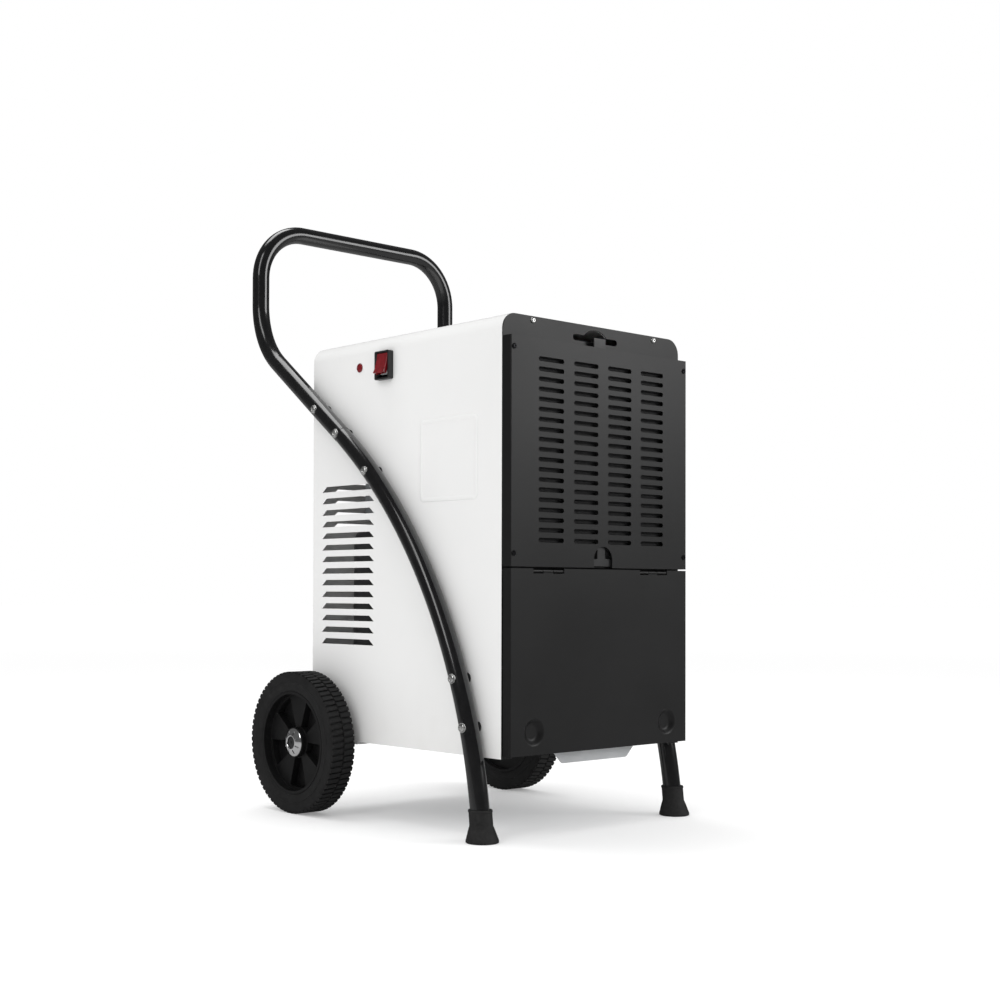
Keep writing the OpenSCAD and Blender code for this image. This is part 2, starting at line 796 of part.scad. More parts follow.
module motor_bracket() {
  y = motor_y - motor_plate_t;
  reach = ring_r + 10;
  color("silver") placed() translate([0, 0, coil_mid]) {
    upright(y, motor_plate_t) difference() {
      union() {
        circle(r = 40);
        for (a = [45, 135]) rotate(a) square([2 * reach, 14], center = true);
      }
      circle(d = 34);
    }
    for (a = [45 : 90 : 315]) rotate([0, a, 0]) translate([reach - 2, shroud_y + sheet, -7])
      cube([2, y - shroud_y - sheet + 1, 14]);
  }
}

// ---------------------------------------------------------------- refrigeration

module compressor() {
  r = comp_d / 2;
  color("#909090") placed() translate([comp_x, comp_y, comp_z]) rotate_extrude() difference() {
    union() {
      translate([0, 20]) square([r, comp_h - 40]);
      square([r - 20, comp_h]);
      for (z = [20, comp_h - 20]) translate([r - 20, z]) intersection() {
        circle(r = 20);
        translate([0, -20]) square([20, 40]);
      }
    }
    translate([-eps, comp_wall]) square([r - 20, comp_h - 2 * comp_wall]);
    translate([-eps, 20]) square([r - comp_wall, comp_h - 40]);
  }
}

module compressor_base() {
  color("#404040") placed() translate([comp_x, comp_y, comp_z - 3]) difference() {
    union() {
      cylinder(h = 3, r = comp_d / 2 - 4);
      for (a = [0, 120, 240]) rotate(a) {
        translate([0, -11, 0]) cube([lobe_r, 22, 3]);
        translate([lobe_r, 0, 0]) cylinder(h = 3, r = 11);
      }
    }
    for (a = [0, 120, 240]) rotate(a) translate([lobe_r, 0, -1]) cylinder(h = 5, d = 6 + 2 * hole_fit);
  }
}

module compressor_grommets() {
  color("black") placed() for (a = [0, 120, 240])
    translate([comp_x + lobe_r * cos(a), comp_y + lobe_r * sin(a), floor_z]) difference() {
      cylinder(h = comp_z - 3 - floor_z, d = grommet_d);
      translate([0, 0, -1]) cylinder(h = 30, d = 6 + 2 * hole_fit);
    }
}

module compressor_bolts() {
  color("silver") placed() for (a = [0, 120, 240])
    translate([comp_x + lobe_r * cos(a), comp_y + lobe_r * sin(a), 0]) {
      translate([0, 0, base_z]) cylinder(h = comp_z + 4 - base_z, d = 6);
      translate([0, 0, comp_z]) cylinder(h = 4, d = 10, $fn = 6);
    }
}

module accumulator() {
  r = accu_d / 2;
  color("#404040") placed() translate([accu_x, accu_y, accu_z]) rotate_extrude() difference() {
    union() {
      translate([0, 8]) square([r, accu_h - 16]);
      square([r - 8, accu_h]);
      for (z = [8, accu_h - 8]) translate([r - 8, z]) intersection() {
        circle(r = 8);
        translate([0, -8]) square([8, 16]);
      }
    }
    translate([-eps, 2]) square([r - 8, accu_h - 4]);
  }
}

pipe_d = 9.5;
link_z = accu_z - 22;
link_end = [comp_x + comp_d / 2 - 0.5, comp_y, link_z];
coil_end = coil_right + 5;

// From the evaporator to the accumulator, and from there to the compressor
module suction_pipes() {
  color("#b87333") placed() pipe([
    [coil_end, evap_y, coil_high], [pipe_x, evap_y, coil_high], [pipe_x, evap_y, coil_high + 24],
    [pipe_x, accu_y, coil_high + 24], [pipe_x, accu_y, accu_z + accu_h + 30],
    [accu_x, accu_y, accu_z + accu_h + 30], [accu_x, accu_y, accu_z + accu_h]],
    pipe_d, 0.8, [10, 10, 14, 14, 14]);
  color("#b87333") placed() pipe([
    [accu_x, accu_y, accu_z], [accu_x, accu_y, link_z], link_end], pipe_d, 0.8, [14]);
}

module discharge_pipe() {
  color("#b87333") placed() pipe([
    [comp_x + 22, comp_y - 22, comp_top], [comp_x + 22, comp_y - 22, comp_top + 34],
    [pipe_x, comp_y - 22, comp_top + 34], [pipe_x, comp_y - 22, coil_high],
    [pipe_x, cond_y, coil_high], [coil_end, cond_y, coil_high]],
    pipe_d, 0.8, [14, 14, 14, 12]);
}

module liquid_pipe() {
  color("#b87333") placed() pipe([
    [coil_end, cond_y, coil_low], [pipe_x, cond_y, coil_low], [pipe_x, cond_y + 32, coil_low],
    [pipe_x, cond_y + 32, coil_low + 26]], pipe_d, 0.8, [12, 12]);
}

module filter_drier() {
  color("#b87333") placed() translate([pipe_x, cond_y + 32, coil_low + 26]) cylinder(h = 60, r = 10);
}

module capillary() {
  top = coil_low + 26 + 60;
  color("#b87333") placed() pipe([
    [pipe_x, cond_y + 32, top], [pipe_x, cond_y + 32, top + 28], [pipe_x, evap_y, top + 28],
    [pipe_x, evap_y, coil_low], [coil_end, evap_y, coil_low]], 3, 0, [8, 8, 8]);
}

// ---------------------------------------------------------------- electrics

module control_box() {
  color("silver") placed() {
    difference() {
      translate([box_x, box_y, box_z]) cube([box_w, box_d, box_h]);
      translate([box_x + sheet, box_y + sheet, box_z + sheet])
        cube([box_w - 2 * sheet, box_d - 2 * sheet, box_h - 2 * sheet]);
    }
    translate([box_x, shroud_y + sheet, box_z]) cube([sheet, box_y - shroud_y - sheet + eps, box_h]);
  }
}

module control_board() {
  color("darkgreen") placed() {
    translate([box_x + 8, box_y + 6, box_z + 8]) cube([1.6, box_d - 12, 96]);
    for (y = [16, 74]) for (z = [16, 92])
      bar_x(box_x + sheet, box_y + y, box_z + z, 8 - sheet, 5);
    translate([box_x + 9.6, box_y + 14, box_z + 20]) cube([16, 28, 20]);
    translate([box_x + 9.6, box_y + 52, box_z + 24]) cube([22, 34, 30]);
  }
}

module capacitor() {
  color("#d8d8d8") placed() bar_y(box_x + box_w / 2, box_y + 8, box_z + 140, 76, 36);
}

module switch_housing() {
  color("black") placed() difference() {
    union() {
      translate([-half_w - switch_out, switch_y - switch_w / 2, switch_z - switch_h / 2])
        cube([switch_out, switch_w, switch_h]);
      translate([-half_w - 1, switch_y - switch_w / 2 + 2.2, switch_z - switch_h / 2 + 2.2])
        cube([sheet + 17, switch_w - 4.4, switch_h - 4.4]);
    }
    translate([-half_w - switch_out - 1, switch_y - rocker_w / 2 - 0.5, switch_z - 17])
      cube([switch_out + 1.5, rocker_w + 1, 34]);
    translate([-half_w, switch_y - rocker_w / 2 - 0.5, switch_z - 12]) cube([13, rocker_w + 1, 24]);
    bar_y(rocker_x, switch_y - 20, switch_z, 40, rocker_pin_d);
  }
}

module rocker_pin() {
  color("silver") placed() bar_y(rocker_x, switch_y - switch_w / 2 + 2.2, switch_z,
    switch_w - 4.4, rocker_pin_d);
}

module switch_rocker() {
  color("red") placed() translate([rocker_x, switch_y, switch_z]) rotate([0, rocker_tilt, 0]) difference() {
    union() {
      translate([-rocker_face, -rocker_w / 2, -rocker_h / 2]) cube([rocker_face - 4, rocker_w, rocker_h]);
      translate([-5, -rocker_w / 2, -6]) cube([10, rocker_w, 12]);
    }
    bar_y(0, -20, 0, 40, rocker_pin_d + 2 * run_fit);
  }
}

module indicator_lamp() {
  color("red") placed() {
    bar_x(-half_w - 2, lamp_y, lamp_z, 2, lamp_d);
    bar_x(-half_w, lamp_y, lamp_z, 14, lamp_d - 4);
  }
}

module cable_gland() {
  color("black") placed() difference() {
    union() {
      bar_y(gland_x, casing_d, gland_z, 12, 24);
      bar_y(gland_x, casing_d - 14, gland_z, 14 + eps, gland_d);
      translate([gland_x, casing_d - sheet, gland_z]) rotate([90, 0, 0]) cylinder(h = 5, d = 24, $fn = 6);
    }
    bar_y(gland_x, casing_d - 20, gland_z, 40, cord_d);
  }
}

// ---------------------------------------------------------------- trolley

// Screw holes through the frame tube on both sides
module frame_holes() for (z = frame_screw_z)
  bar_x(-tube_x - tube_r - 5, rail_y(z), z, 2 * (tube_x + tube_r + 5), frame_screw_d + 2 * hole_fit);

module leg_tube(x) {
  color("#101010") placed() difference() {
    translate([x, leg_a[0], leg_a[1]]) rotate([-foot_lean, 0, 0]) {
      translate([0, 0, foot_inset - stub]) linear_extrude(stub - foot_inset) pipe_section(tube_d, tube_wall);
      multmatrix([[0, 0, -1, 0], [-1, 0, 0, leg_r], [0, 1, 0, 0], [0, 0, 0, 1]])
        rotate_extrude(angle = slope_lean - foot_lean) translate([leg_r, 0]) pipe_section(tube_d, tube_wall);
    }
    frame_holes();
  }
}

module leg_tube_left() leg_tube(-tube_x);
module leg_tube_right() leg_tube(tube_x);

module handle_tube() {
  start = [tube_x, handle_y, shoulder_z] - slope_len * slope;
  color("#101010") placed() difference() {
    pipe([
      start, [tube_x, handle_y, shoulder_z], [tube_x, handle_y, handle_z],
      [-tube_x, handle_y, handle_z], [-tube_x, handle_y, shoulder_z],
      [-start[0], start[1], start[2]]],
      tube_d, tube_wall, [shoulder_r, handle_r, handle_r, shoulder_r]);
    frame_holes();
  }
}

// Short tubes inside the frame across the joint of leg and handle
module joint_sleeves() {
  color("silver") placed() difference() {
    for (s = [-1, 1]) pipe_run([s * tube_x, leg_end[0], leg_end[1]] - 8 * slope,
      [s * tube_x, leg_end[0], leg_end[1]] + 52 * slope, tube_d - 2 * tube_wall - 2 * hole_fit, 2);
    frame_holes();
  }
}

module frame_spacers() {
  color("black") placed() for (s = [-1, 1]) for (z = frame_screw_z) difference() {
    bar_x(s > 0 ? half_w : -half_w - tube_gap, rail_y(z), z, tube_gap, 14);
    bar_x(-tube_x, rail_y(z), z, 2 * tube_x, frame_screw_d + 2 * hole_fit);
  }
}

module frame_screws() {
  reach = tube_d + tube_gap + sheet + 6;
  color("silver") placed() mirrored_x() for (z = frame_screw_z) {
    bar_x(tube_x + tube_r - reach, rail_y(z), z, reach, frame_screw_d);
    bar_x(tube_x + tube_r, rail_y(z), z, 2.4, 11);
    bar_x(half_w - sheet - 5, rail_y(z), z, 5, 10.5);
  }
}

module foot(x) {
  color("#2a2a2a") placed() intersection() {
    translate([x, foot_y, 0]) rotate([-foot_lean, 0, 0]) rotate_extrude() difference() {
      polygon([[0, -6], [foot_d / 2, -6], [foot_d / 2, 4], [foot_d / 2 - 4, 16], [foot_d / 2 - 6, 20],
        [foot_d / 2 - 6, foot_h], [0, foot_h]]);
      translate([-eps, foot_inset]) square([tube_r + eps, foot_h]);
    }
    translate([x - foot_d, foot_y - foot_d, 0]) cube([2 * foot_d, 2 * foot_d, 2 * foot_h]);
  }
}

module rubber_feet() for (s = [-1, 1]) foot(s * tube_x);

hub_out = wheel_x + tyre_w / 2 - 7;
hub_in = wheel_x - tyre_w / 2 + 1;

module axle() {
  color("silver") placed() bar_x(-hub_out - 3, axle_y, wheel_r, 2 * (hub_out + 3), axle_d);
}

// Saddles that carry the axle, distance sleeves and the push-on end caps
module axle_fittings() {
  sleeve_in = half_w + 0.5;
  color("silver") placed() mirrored_x() {
    difference() {
      translate([saddle_x - 11, axle_y - 25, wheel_r - axle_r - 3]) cube([22, 34, axle_d + axle_gap + 3]);
      translate([saddle_x - 12, axle_y - 26, wheel_r - axle_r - 4]) cube([24, 16, axle_d + axle_gap + 1]);
      bar_x(saddle_x - 12, axle_y, wheel_r, 24, axle_d);
      for (x = saddle_bolts) translate([saddle_x + x, axle_y - 18, base_z - 10])
        cylinder(h = 20, d = 5 + 2 * hole_fit);
    }
    for (x = saddle_bolts) translate([saddle_x + x, axle_y - 18, 0]) {
      translate([0, 0, base_z - 5.5]) cylinder(h = 2.5, d = 9);
      translate([0, 0, base_z - 3]) cylinder(h = base_t + 6, d = 5);
    }
    difference() {
      bar_x(sleeve_in, axle_y, wheel_r, hub_in - sleeve_in - 0.3, axle_d + 6);
      bar_x(sleeve_in - 1, axle_y, wheel_r, hub_in, axle_d);
    }
    difference() {
      translate([hub_out + 0.4, axle_y, wheel_r]) rotate([0, 90, 0]) rotate_extrude() difference() {
        intersection() {
          translate([0, -30]) circle(r = 36);
          square([20, 6]);
        }
        square([4, 10]);
      }
      bar_x(hub_out - 1, axle_y, wheel_r, 4.1, axle_d);
    }
  }
}

// Puts a shape drawn round Z at a wheel's place, its outer side towards +Z
module at_wheel(s) placed() translate([s * wheel_x, axle_y, wheel_r]) rotate([0, s * 90, 0]) children();

module tyre(s) {
  rim_r = rim_d / 2;
  half = tyre_w / 2;
  edge = 3;
  color("#202020") at_wheel(s) rotate_extrude() difference() {
    union() {
      translate([rim_r - 1, -half + 3]) square([wheel_r - rim_r - 5, tyre_w - 6]);
      translate([rim_r + 4, -half]) square([wheel_r - rim_r - 4 - edge, tyre_w]);
      translate([wheel_r - edge, -half + edge]) square([edge, tyre_w - 2 * edge]);
      for (z = [-half + edge, half - edge]) translate([wheel_r - edge, z]) circle(r = edge);
      for (z = [-half + 4, half - 4]) translate([rim_r + 4, z]) circle(r = 4);
    }
    translate([0, -half]) square([rim_r, tyre_w]);
  }
}

// Five wedges between the spokes
module spoke_windows(r) for (i = [0 : 4]) rotate(i * 72 + 180) intersection() {
  difference() {
    circle(r = r);
    circle(r = 22);
  }
  polygon([[4, -3], [90, -27], [90, 27], [4, 3]]);
}

module hub(s) {
  rim_r = rim_d / 2;
  half = tyre_w / 2;
  color("#181818") at_wheel(s) difference() {
    union() {
      difference() {
        translate([0, 0, -half + 2]) cylinder(h = tyre_w - 4, r = rim_r);
        translate([0, 0, -half]) cylinder(h = tyre_w, r = rim_r - 4.4);
      }
      translate([0, 0, -6]) linear_extrude(12) difference() {
        circle(r = rim_r - 4);
        spoke_windows(rim_r - 8);
      }
      translate([0, 0, -9]) cylinder(h = 3.5, r = rim_r - 4);
      translate([0, 0, hub_in - wheel_x]) cylinder(h = hub_out - hub_in, r = 21);
    }
    translate([0, 0, -40]) cylinder(h = 80, d = axle_d + 2 * run_fit);
  }
}

module tyre_left() tyre(-1);
module tyre_right() tyre(1);
module hub_left() hub(-1);
module hub_right() hub(1);

casing();
base_pan();
rear_panel();
front_plate();
grille_panel();
grille_screws();
plate_screws();
grille_standoffs();
flap();
hinge_leaves_fixed();
hinge_leaves_moving();
hinge_pins();
filter_frame();
filter_mesh();
tank();
float_bracket();
float_arm();
float_block();
bay_liner();
drip_tray();
evaporator_fins();
evaporator_tube();
condenser_fins();
condenser_tube();
fan_shroud();
fan_rotor();
fan_shaft();
fan_motor();
motor_bracket();
compressor();
compressor_base();
compressor_grommets();
compressor_bolts();
accumulator();
suction_pipes();
discharge_pipe();
liquid_pipe();
filter_drier();
capillary();
control_box();
control_board();
capacitor();
switch_housing();
switch_rocker();
rocker_pin();
indicator_lamp();
cable_gland();
leg_tube_left();
leg_tube_right();
handle_tube();
joint_sleeves();
frame_spacers();
frame_screws();
rubber_feet();
axle();
axle_fittings();
tyre_left();
tyre_right();
hub_left();
hub_right();
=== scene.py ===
# %% [markdown]
# # Trolley dehumidifier
# This lesson dresses a finished CAD model of a building-site dehumidifier. The CAD
# model fixes every size; here the visible pieces are modelled again with the small
# rounds, folds, treads and recesses that catch the light, and every surface gets a
# procedural finish. All lengths below are given in millimetres from the casing's
# front edge, because that is how a maker measures the machine, and `at` turns them
# into the metres of the shared frame.

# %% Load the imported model
import bpy
import json
from math import atan2, cos, degrees, pi, radians, sin, sqrt, tan
from mathutils import Matrix, Vector

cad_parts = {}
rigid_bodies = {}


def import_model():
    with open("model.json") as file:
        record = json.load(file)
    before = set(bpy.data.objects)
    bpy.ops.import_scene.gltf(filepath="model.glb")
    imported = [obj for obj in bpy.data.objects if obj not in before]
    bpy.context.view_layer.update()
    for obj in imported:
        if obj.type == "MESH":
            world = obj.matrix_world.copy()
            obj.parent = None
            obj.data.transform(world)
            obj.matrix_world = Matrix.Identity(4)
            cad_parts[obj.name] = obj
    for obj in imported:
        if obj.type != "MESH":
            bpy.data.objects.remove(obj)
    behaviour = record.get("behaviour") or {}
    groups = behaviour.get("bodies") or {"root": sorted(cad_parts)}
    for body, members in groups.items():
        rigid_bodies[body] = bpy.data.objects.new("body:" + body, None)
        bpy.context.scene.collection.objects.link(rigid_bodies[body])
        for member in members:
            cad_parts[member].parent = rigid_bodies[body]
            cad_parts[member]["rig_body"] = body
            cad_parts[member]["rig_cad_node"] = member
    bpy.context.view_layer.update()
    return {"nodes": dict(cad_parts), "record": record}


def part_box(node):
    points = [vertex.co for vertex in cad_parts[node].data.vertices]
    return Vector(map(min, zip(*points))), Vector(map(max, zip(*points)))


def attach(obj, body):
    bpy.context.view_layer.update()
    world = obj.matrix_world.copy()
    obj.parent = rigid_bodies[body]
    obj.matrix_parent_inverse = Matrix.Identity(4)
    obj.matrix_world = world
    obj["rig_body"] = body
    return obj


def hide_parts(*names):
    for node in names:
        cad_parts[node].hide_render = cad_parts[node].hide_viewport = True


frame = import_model()
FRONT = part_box("casing")[0].y * 1000
SLOTS = {part["node"]: part["material_slot"] for part in frame["record"]["subparts"]}


def at(x, y, z):
    return Vector((x, y + FRONT, z)) / 1000


# %% [markdown]
# ## Working by hand, in code
# Every piece below starts as a primitive, is shaped in edit mode, and ends with
# modifiers that are applied. An operator works on whatever is selected, so these
# helpers always clear the selection first and then pick faces, edges or points by
# where they are and which way they look, as a person would by clicking.

# %% Selecting and shaping
def alone(obj=None):
    """Leaves edit mode and selects only obj."""
    if bpy.context.mode != "OBJECT":
        bpy.ops.object.mode_set(mode="OBJECT")
    bpy.ops.object.select_all(action="DESELECT")
    if obj:
        obj.select_set(True)
        bpy.context.view_layer.objects.active = obj
    return obj


def settle(name):
    """Names the new primitive and puts its place and size into its mesh."""
    obj = bpy.context.object
    obj.name = obj.data.name = name
    bpy.ops.object.transform_apply(location=True, rotation=True, scale=True)
    return obj


def block(name, low, high):
    low, high = at(*low), at(*high)
    alone()
    bpy.ops.mesh.primitive_cube_add(size=1, location=(low + high) / 2, scale=high - low)
    return settle(name)


TURNS = {"X": (0, pi / 2, 0), "-X": (0, -pi / 2, 0), "Y": (-pi / 2, 0, 0), "-Y": (pi / 2, 0, 0), "Z": (0, 0, 0)}
AXES = {"X": Vector((1, 0, 0)), "-X": Vector((-1, 0, 0)), "Y": Vector((0, 1, 0)), "-Y": Vector((0, -1, 0)),
        "Z": Vector((0, 0, 1))}


def drum(name, start, towards, radius, length, sides=48, tip=None):
    """Cylinder or cone that starts at a point and runs towards an axis."""
    alone()
    tip = radius if tip is None else tip
    bpy.ops.mesh.primitive_cone_add(
        vertices=sides, radius1=radius / 1000, radius2=tip / 1000, depth=length / 1000,
        location=at(*start) + AXES[towards] * length / 2000, rotation=TURNS[towards])
    return settle(name)


def pick(obj, kind, test):
    """Goes into edit mode with the faces, edges or points that pass the test selected."""
    alone(obj)
    bpy.ops.object.mode_set(mode="EDIT")
    bpy.ops.mesh.select_mode(type=kind)
    bpy.ops.mesh.select_all(action="DESELECT")
    bpy.ops.object.mode_set(mode="OBJECT")
    mesh, points = obj.data, obj.data.vertices
    if kind == "FACE":
        for face in mesh.polygons:
            face.select = bool(test(face.center * 1000 - Vector((0, FRONT, 0)), face.normal))
    elif kind == "EDGE":
        for edge in mesh.edges:
            a, b = (points[i].co * 1000 - Vector((0, FRONT, 0)) for i in edge.vertices)
            edge.select = bool(test((a + b) / 2, b - a))
    else:
        for point in points:
            point.select = bool(test(point.co * 1000 - Vector((0, FRONT, 0)), point.normal))
    bpy.ops.object.mode_set(mode="EDIT")


def change(obj, kind, **settings):
    """Adds a modifier and applies it at once."""
    alone(obj)
    modifier = obj.modifiers.new(kind.title(), kind)
    for name, value in settings.items():
        setattr(modifier, name, value)
    bpy.ops.object.modifier_apply(modifier=modifier.name)
    return obj


def cut(obj, cutter, operation="DIFFERENCE"):
    change(obj, "BOOLEAN", operation=operation, object=cutter, solver="EXACT")
    bpy.data.objects.remove(cutter)
    return obj


def soften(obj, width, segments=2, angle=30):
    return change(obj, "BEVEL", width=width / 1000, segments=segments, limit_method="ANGLE",
                  angle_limit=radians(angle), use_clamp_overlap=True)


def copies(obj, places):
    """Copies a piece, each with a mesh of its own, moved by each of the given millimetres."""
    made = []
    for place in places:
        twin = obj.copy()
        twin.data = obj.data.copy()
        bpy.context.scene.collection.objects.link(twin)
        twin.data.transform(Matrix.Translation(Vector(place) / 1000))
        made.append(twin)
    return made


def joined(name, parts):
    alone(parts[0])
    for part in parts:
        part.select_set(True)
    bpy.ops.object.join()
    parts[0].name = parts[0].data.name = name
    return parts[0]


def mirrored(obj, name=None):
    """The same piece on the other side of the machine, with its faces turned out again."""
    twin = copies(obj, [(0, 0, 0)])[0]
    twin.data.transform(Matrix.Scale(-1, 4, Vector((1, 0, 0))))
    twin.data.flip_normals()
    if name:
        twin.name = twin.data.name = name
    return twin


def turned(obj, middle, axis, angle):
    """Turns a piece about a line through a point, in its mesh."""
    there = Matrix.Translation(at(*middle))
    obj.data.transform(there @ Matrix.Rotation(radians(angle), 4, axis) @ there.inverted())
    return obj


def copy_of(node, width=0.35, segments=2, angle=30):
    """A copy of a CAD node with merged points and slightly rounded edges."""
    source = frame["nodes"][node]
    obj = source.copy()
    obj.data = source.data.copy()
    bpy.context.scene.collection.objects.link(obj)
    obj.parent = None
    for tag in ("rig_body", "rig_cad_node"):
        if tag in obj:
            del obj[tag]
    obj.name = obj.data.name = node + "_finish"
    pick(obj, "VERT", lambda place, way: True)
    bpy.ops.mesh.remove_doubles(threshold=1e-6)
    bpy.ops.mesh.dissolve_limited(angle_limit=radians(0.5))
    alone(obj)
    return soften(obj, width, segments, angle) if width else obj


def done(obj, finish, body="root", stands_for=(), angle=35):
    """Shades a piece, gives it its finish and hangs it on its body."""
    alone(obj)
    bpy.ops.object.shade_smooth_by_angle(angle=radians(angle))
    change(obj, "WEIGHTED_NORMAL", weight=80, keep_sharp=True)
    obj.data.materials.clear()
    obj.data.materials.append(finish)
    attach(obj, body)
    if stands_for:
        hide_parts(*stands_for)
    print(obj.name, len(obj.data.polygons), "faces")
    return obj


# %% [markdown]
# ## Shader maths as sums
# A finish is mostly small sums: noise times a little, plus a base value. Wrapping a
# node's socket in a class with operators lets those sums be written as Python, and
# each operator adds the Math node that does it. One other method adds any node.

# %% Sockets that can be added and multiplied
class Value:
    def __init__(self, finish, socket):
        self.finish, self.socket = finish, socket

    def maths(self, operation, first, second):
        return self.finish.node("Math", {"operation": operation}, {0: first, 1: second})

    def __add__(self, other):
        return self.maths("ADD", self, other)

    def __radd__(self, other):
        return self.maths("ADD", other, self)

    def __sub__(self, other):
        return self.maths("SUBTRACT", self, other)

    def __rsub__(self, other):
        return self.maths("SUBTRACT", other, self)

    def __mul__(self, other):
        return self.maths("MULTIPLY", self, other)

    def __rmul__(self, other):
        return self.maths("MULTIPLY", other, self)

    def __truediv__(self, other):
        return self.maths("DIVIDE", self, other)

    def __pow__(self, other):
        return self.maths("POWER", self, other)


class Finish:
    """A Principled material whose even values sit on its own sockets."""

    def __init__(self, name, **even):
        self.material = bpy.data.materials.new(name)
        self.material.use_nodes = True
        self.nodes = self.material.node_tree.nodes
        self.shader = self.nodes["Principled BSDF"]
        self.place = self.node("TexCoord", {}, {}, "Object")
        for words, value in even.items():
            self.feed(self.shader.inputs[words.replace("_", " ").title().replace("Ior", "IOR")], value)

    def feed(self, socket, value):
        if isinstance(value, Value):
            self.material.node_tree.links.new(value.socket, socket)
        elif hasattr(value, "__len__") and len(value) == 3 and socket.type == "RGBA":
            socket.default_value = (*value, 1)
        else:
            socket.default_value = value

    def node(self, kind, settings, inputs, output=0):
        node = self.nodes.new("ShaderNode" + kind)
        for name, value in settings.items():
            if name == "stops":
                ends = node.color_ramp.elements
                while len(ends) < len(value):
                    ends.new(0.5)
                for end, (spot, colour) in zip(ends, value):
                    end.position, end.color = spot, (*colour, 1)
            else:
                setattr(node, name, value)
        for key, value in inputs.items():
            self.feed(node.inputs[key], value)
        return Value(self, node.outputs[output])

    def noise(self, size, detail=2, stretch=(1, 1, 1), roughness=0.5):
        """Noise whose blobs are about this many millimetres across."""
        where = self.node("Mapping", {}, {"Vector": self.place, "Scale": stretch})
        return self.node("TexNoise", {}, {"Vector": where, "Scale": 1000 / size, "Detail": detail,
                                          "Roughness": roughness}, "Fac")

    def axis(self, letter):
        return self.node("SeparateXYZ", {}, {"Vector": self.place}, letter)

    def ramp(self, value, *stops):
        return self.node("ValToRGB", {"stops": stops}, {"Fac": value}, "Color")

    def mix(self, mask, first, second):
        node = self.nodes.new("ShaderNodeMix")
        node.data_type = "RGBA"
        for key, value in zip((0, 6, 7), (mask, first, second)):
            self.feed(node.inputs[key], value)
        return Value(self, node.outputs[2])

    def bump(self, height, strength=0.2, depth=0.1):
        """Relief from a height, depth in millimetres."""
        return self.node("Bump", {}, {"Height": height, "Strength": strength, "Distance": depth / 1000},
                         "Normal")

    def wear(self, **varying):
        for words, value in varying.items():
            self.feed(self.shader.inputs[words.replace("_", " ").title()], value)
        return self


FINISHES = {}

# %% [markdown]
# ## Powder coats
# The casing has a smooth satin white powder coat. Close up it isn't flat: powder
# melts into a faint orange peel a few millimetres across. A large, very weak noise
# moves the colour and the gloss as handling does, and the peel goes into the bump.
# The black panels have the same coat with a finer, rougher grain.

# %% White and black powder coat
white = Finish("white_paint", metallic=0.0, coat_weight=0.12, coat_roughness=0.2)
cloud = white.noise(180, 3)
peel = white.noise(3.2, 1)
dust = white.noise(26, 5)
low = white.node("MapRange", {}, {"Value": white.axis("Z"), 1: 0.2, 2: 0.09, 3: 0.0, 4: 1.0})
clean = white.ramp(cloud, (0.3, (0.715, 0.715, 0.71)), (0.7, (0.745, 0.745, 0.74)))
white.wear(base_color=white.mix(low * dust * 0.22, clean, (0.50, 0.48, 0.44)),
           roughness=0.30 + cloud * 0.08 + dust * 0.05,
           normal=white.bump(peel + white.noise(0.7, 2) * 0.25, 0.16, 0.05))
FINISHES["white_paint"] = white.material

black = Finish("black_paint", metallic=0.0, specular_ior_level=0.4)
cloud = black.noise(120, 3)
grain = black.noise(0.8, 2)
scuff = black.noise(60, 4, (1, 1, 6))
black.wear(base_color=black.ramp(cloud + scuff * 0.2, (0.35, (0.0028, 0.0028, 0.0030)),
                                 (0.85, (0.0056, 0.0056, 0.0059))),
           roughness=0.35 + cloud * 0.1 + grain * 0.05,
           normal=black.bump(grain + black.noise(2.6, 1) * 0.6, 0.28, 0.05))
FINISHES["black_paint"] = black.material

gloss = Finish("gloss_black_tube", coat_weight=0.6, coat_roughness=0.06)
smear = gloss.noise(40, 4, (1, 1, 0.5))
gloss.wear(base_color=gloss.ramp(gloss.noise(9, 3), (0.3, (0.003, 0.003, 0.0033)),
                                 (0.8, (0.006, 0.006, 0.0065))),
           roughness=0.11 + smear * smear * 0.32,
           normal=gloss.bump(gloss.noise(2.4, 1), 0.1, 0.05))
FINISHES["gloss_black_tube"] = gloss.material
print("painted finishes ready")

# %% [markdown]
# ## Metals
# Zinc-plated screws are bright with a slight cloudiness, galvanised sheet has the
# flat crystals called spangle, copper pipe is drawn and so has fine lines along it,
# and chrome is almost a mirror. A metal's colour is its reflection, so Metallic is
# one everywhere and only the colour and roughness move.

# %% Zinc, spangle, copper, fins and chrome
def metal(name, colours, rough, spread, size, stretch=(1, 1, 1), relief=0.1):
    coat = Finish(name, metallic=1.0)
    blot = coat.noise(size, 4, stretch)
    coat.wear(base_color=coat.ramp(blot, (0.3, colours[0]), (0.75, colours[1])),
              roughness=rough + blot * spread, normal=coat.bump(coat.noise(size / 6, 3, stretch), relief, 0.03))
    FINISHES[name] = coat.material


metal("zinc_steel", [(0.60, 0.60, 0.60), (0.82, 0.82, 0.80)], 0.16, 0.2, 5)
metal("black_screw", [(0.020, 0.020, 0.022), (0.045, 0.045, 0.048)], 0.28, 0.2, 4)
metal("copper", [(0.62, 0.27, 0.15), (0.88, 0.46, 0.30)], 0.18, 0.3, 16)
metal("chrome", [(0.80, 0.80, 0.81), (0.88, 0.88, 0.88)], 0.04, 0.08, 12, relief=0.04)
metal("capacitor_can", [(0.62, 0.62, 0.63), (0.74, 0.74, 0.75)], 0.22, 0.14, 20, (1, 8, 1))
metal("fin_aluminium", [(0.62, 0.64, 0.66), (0.84, 0.85, 0.86)], 0.25, 0.25, 6, (1, 1, 6))

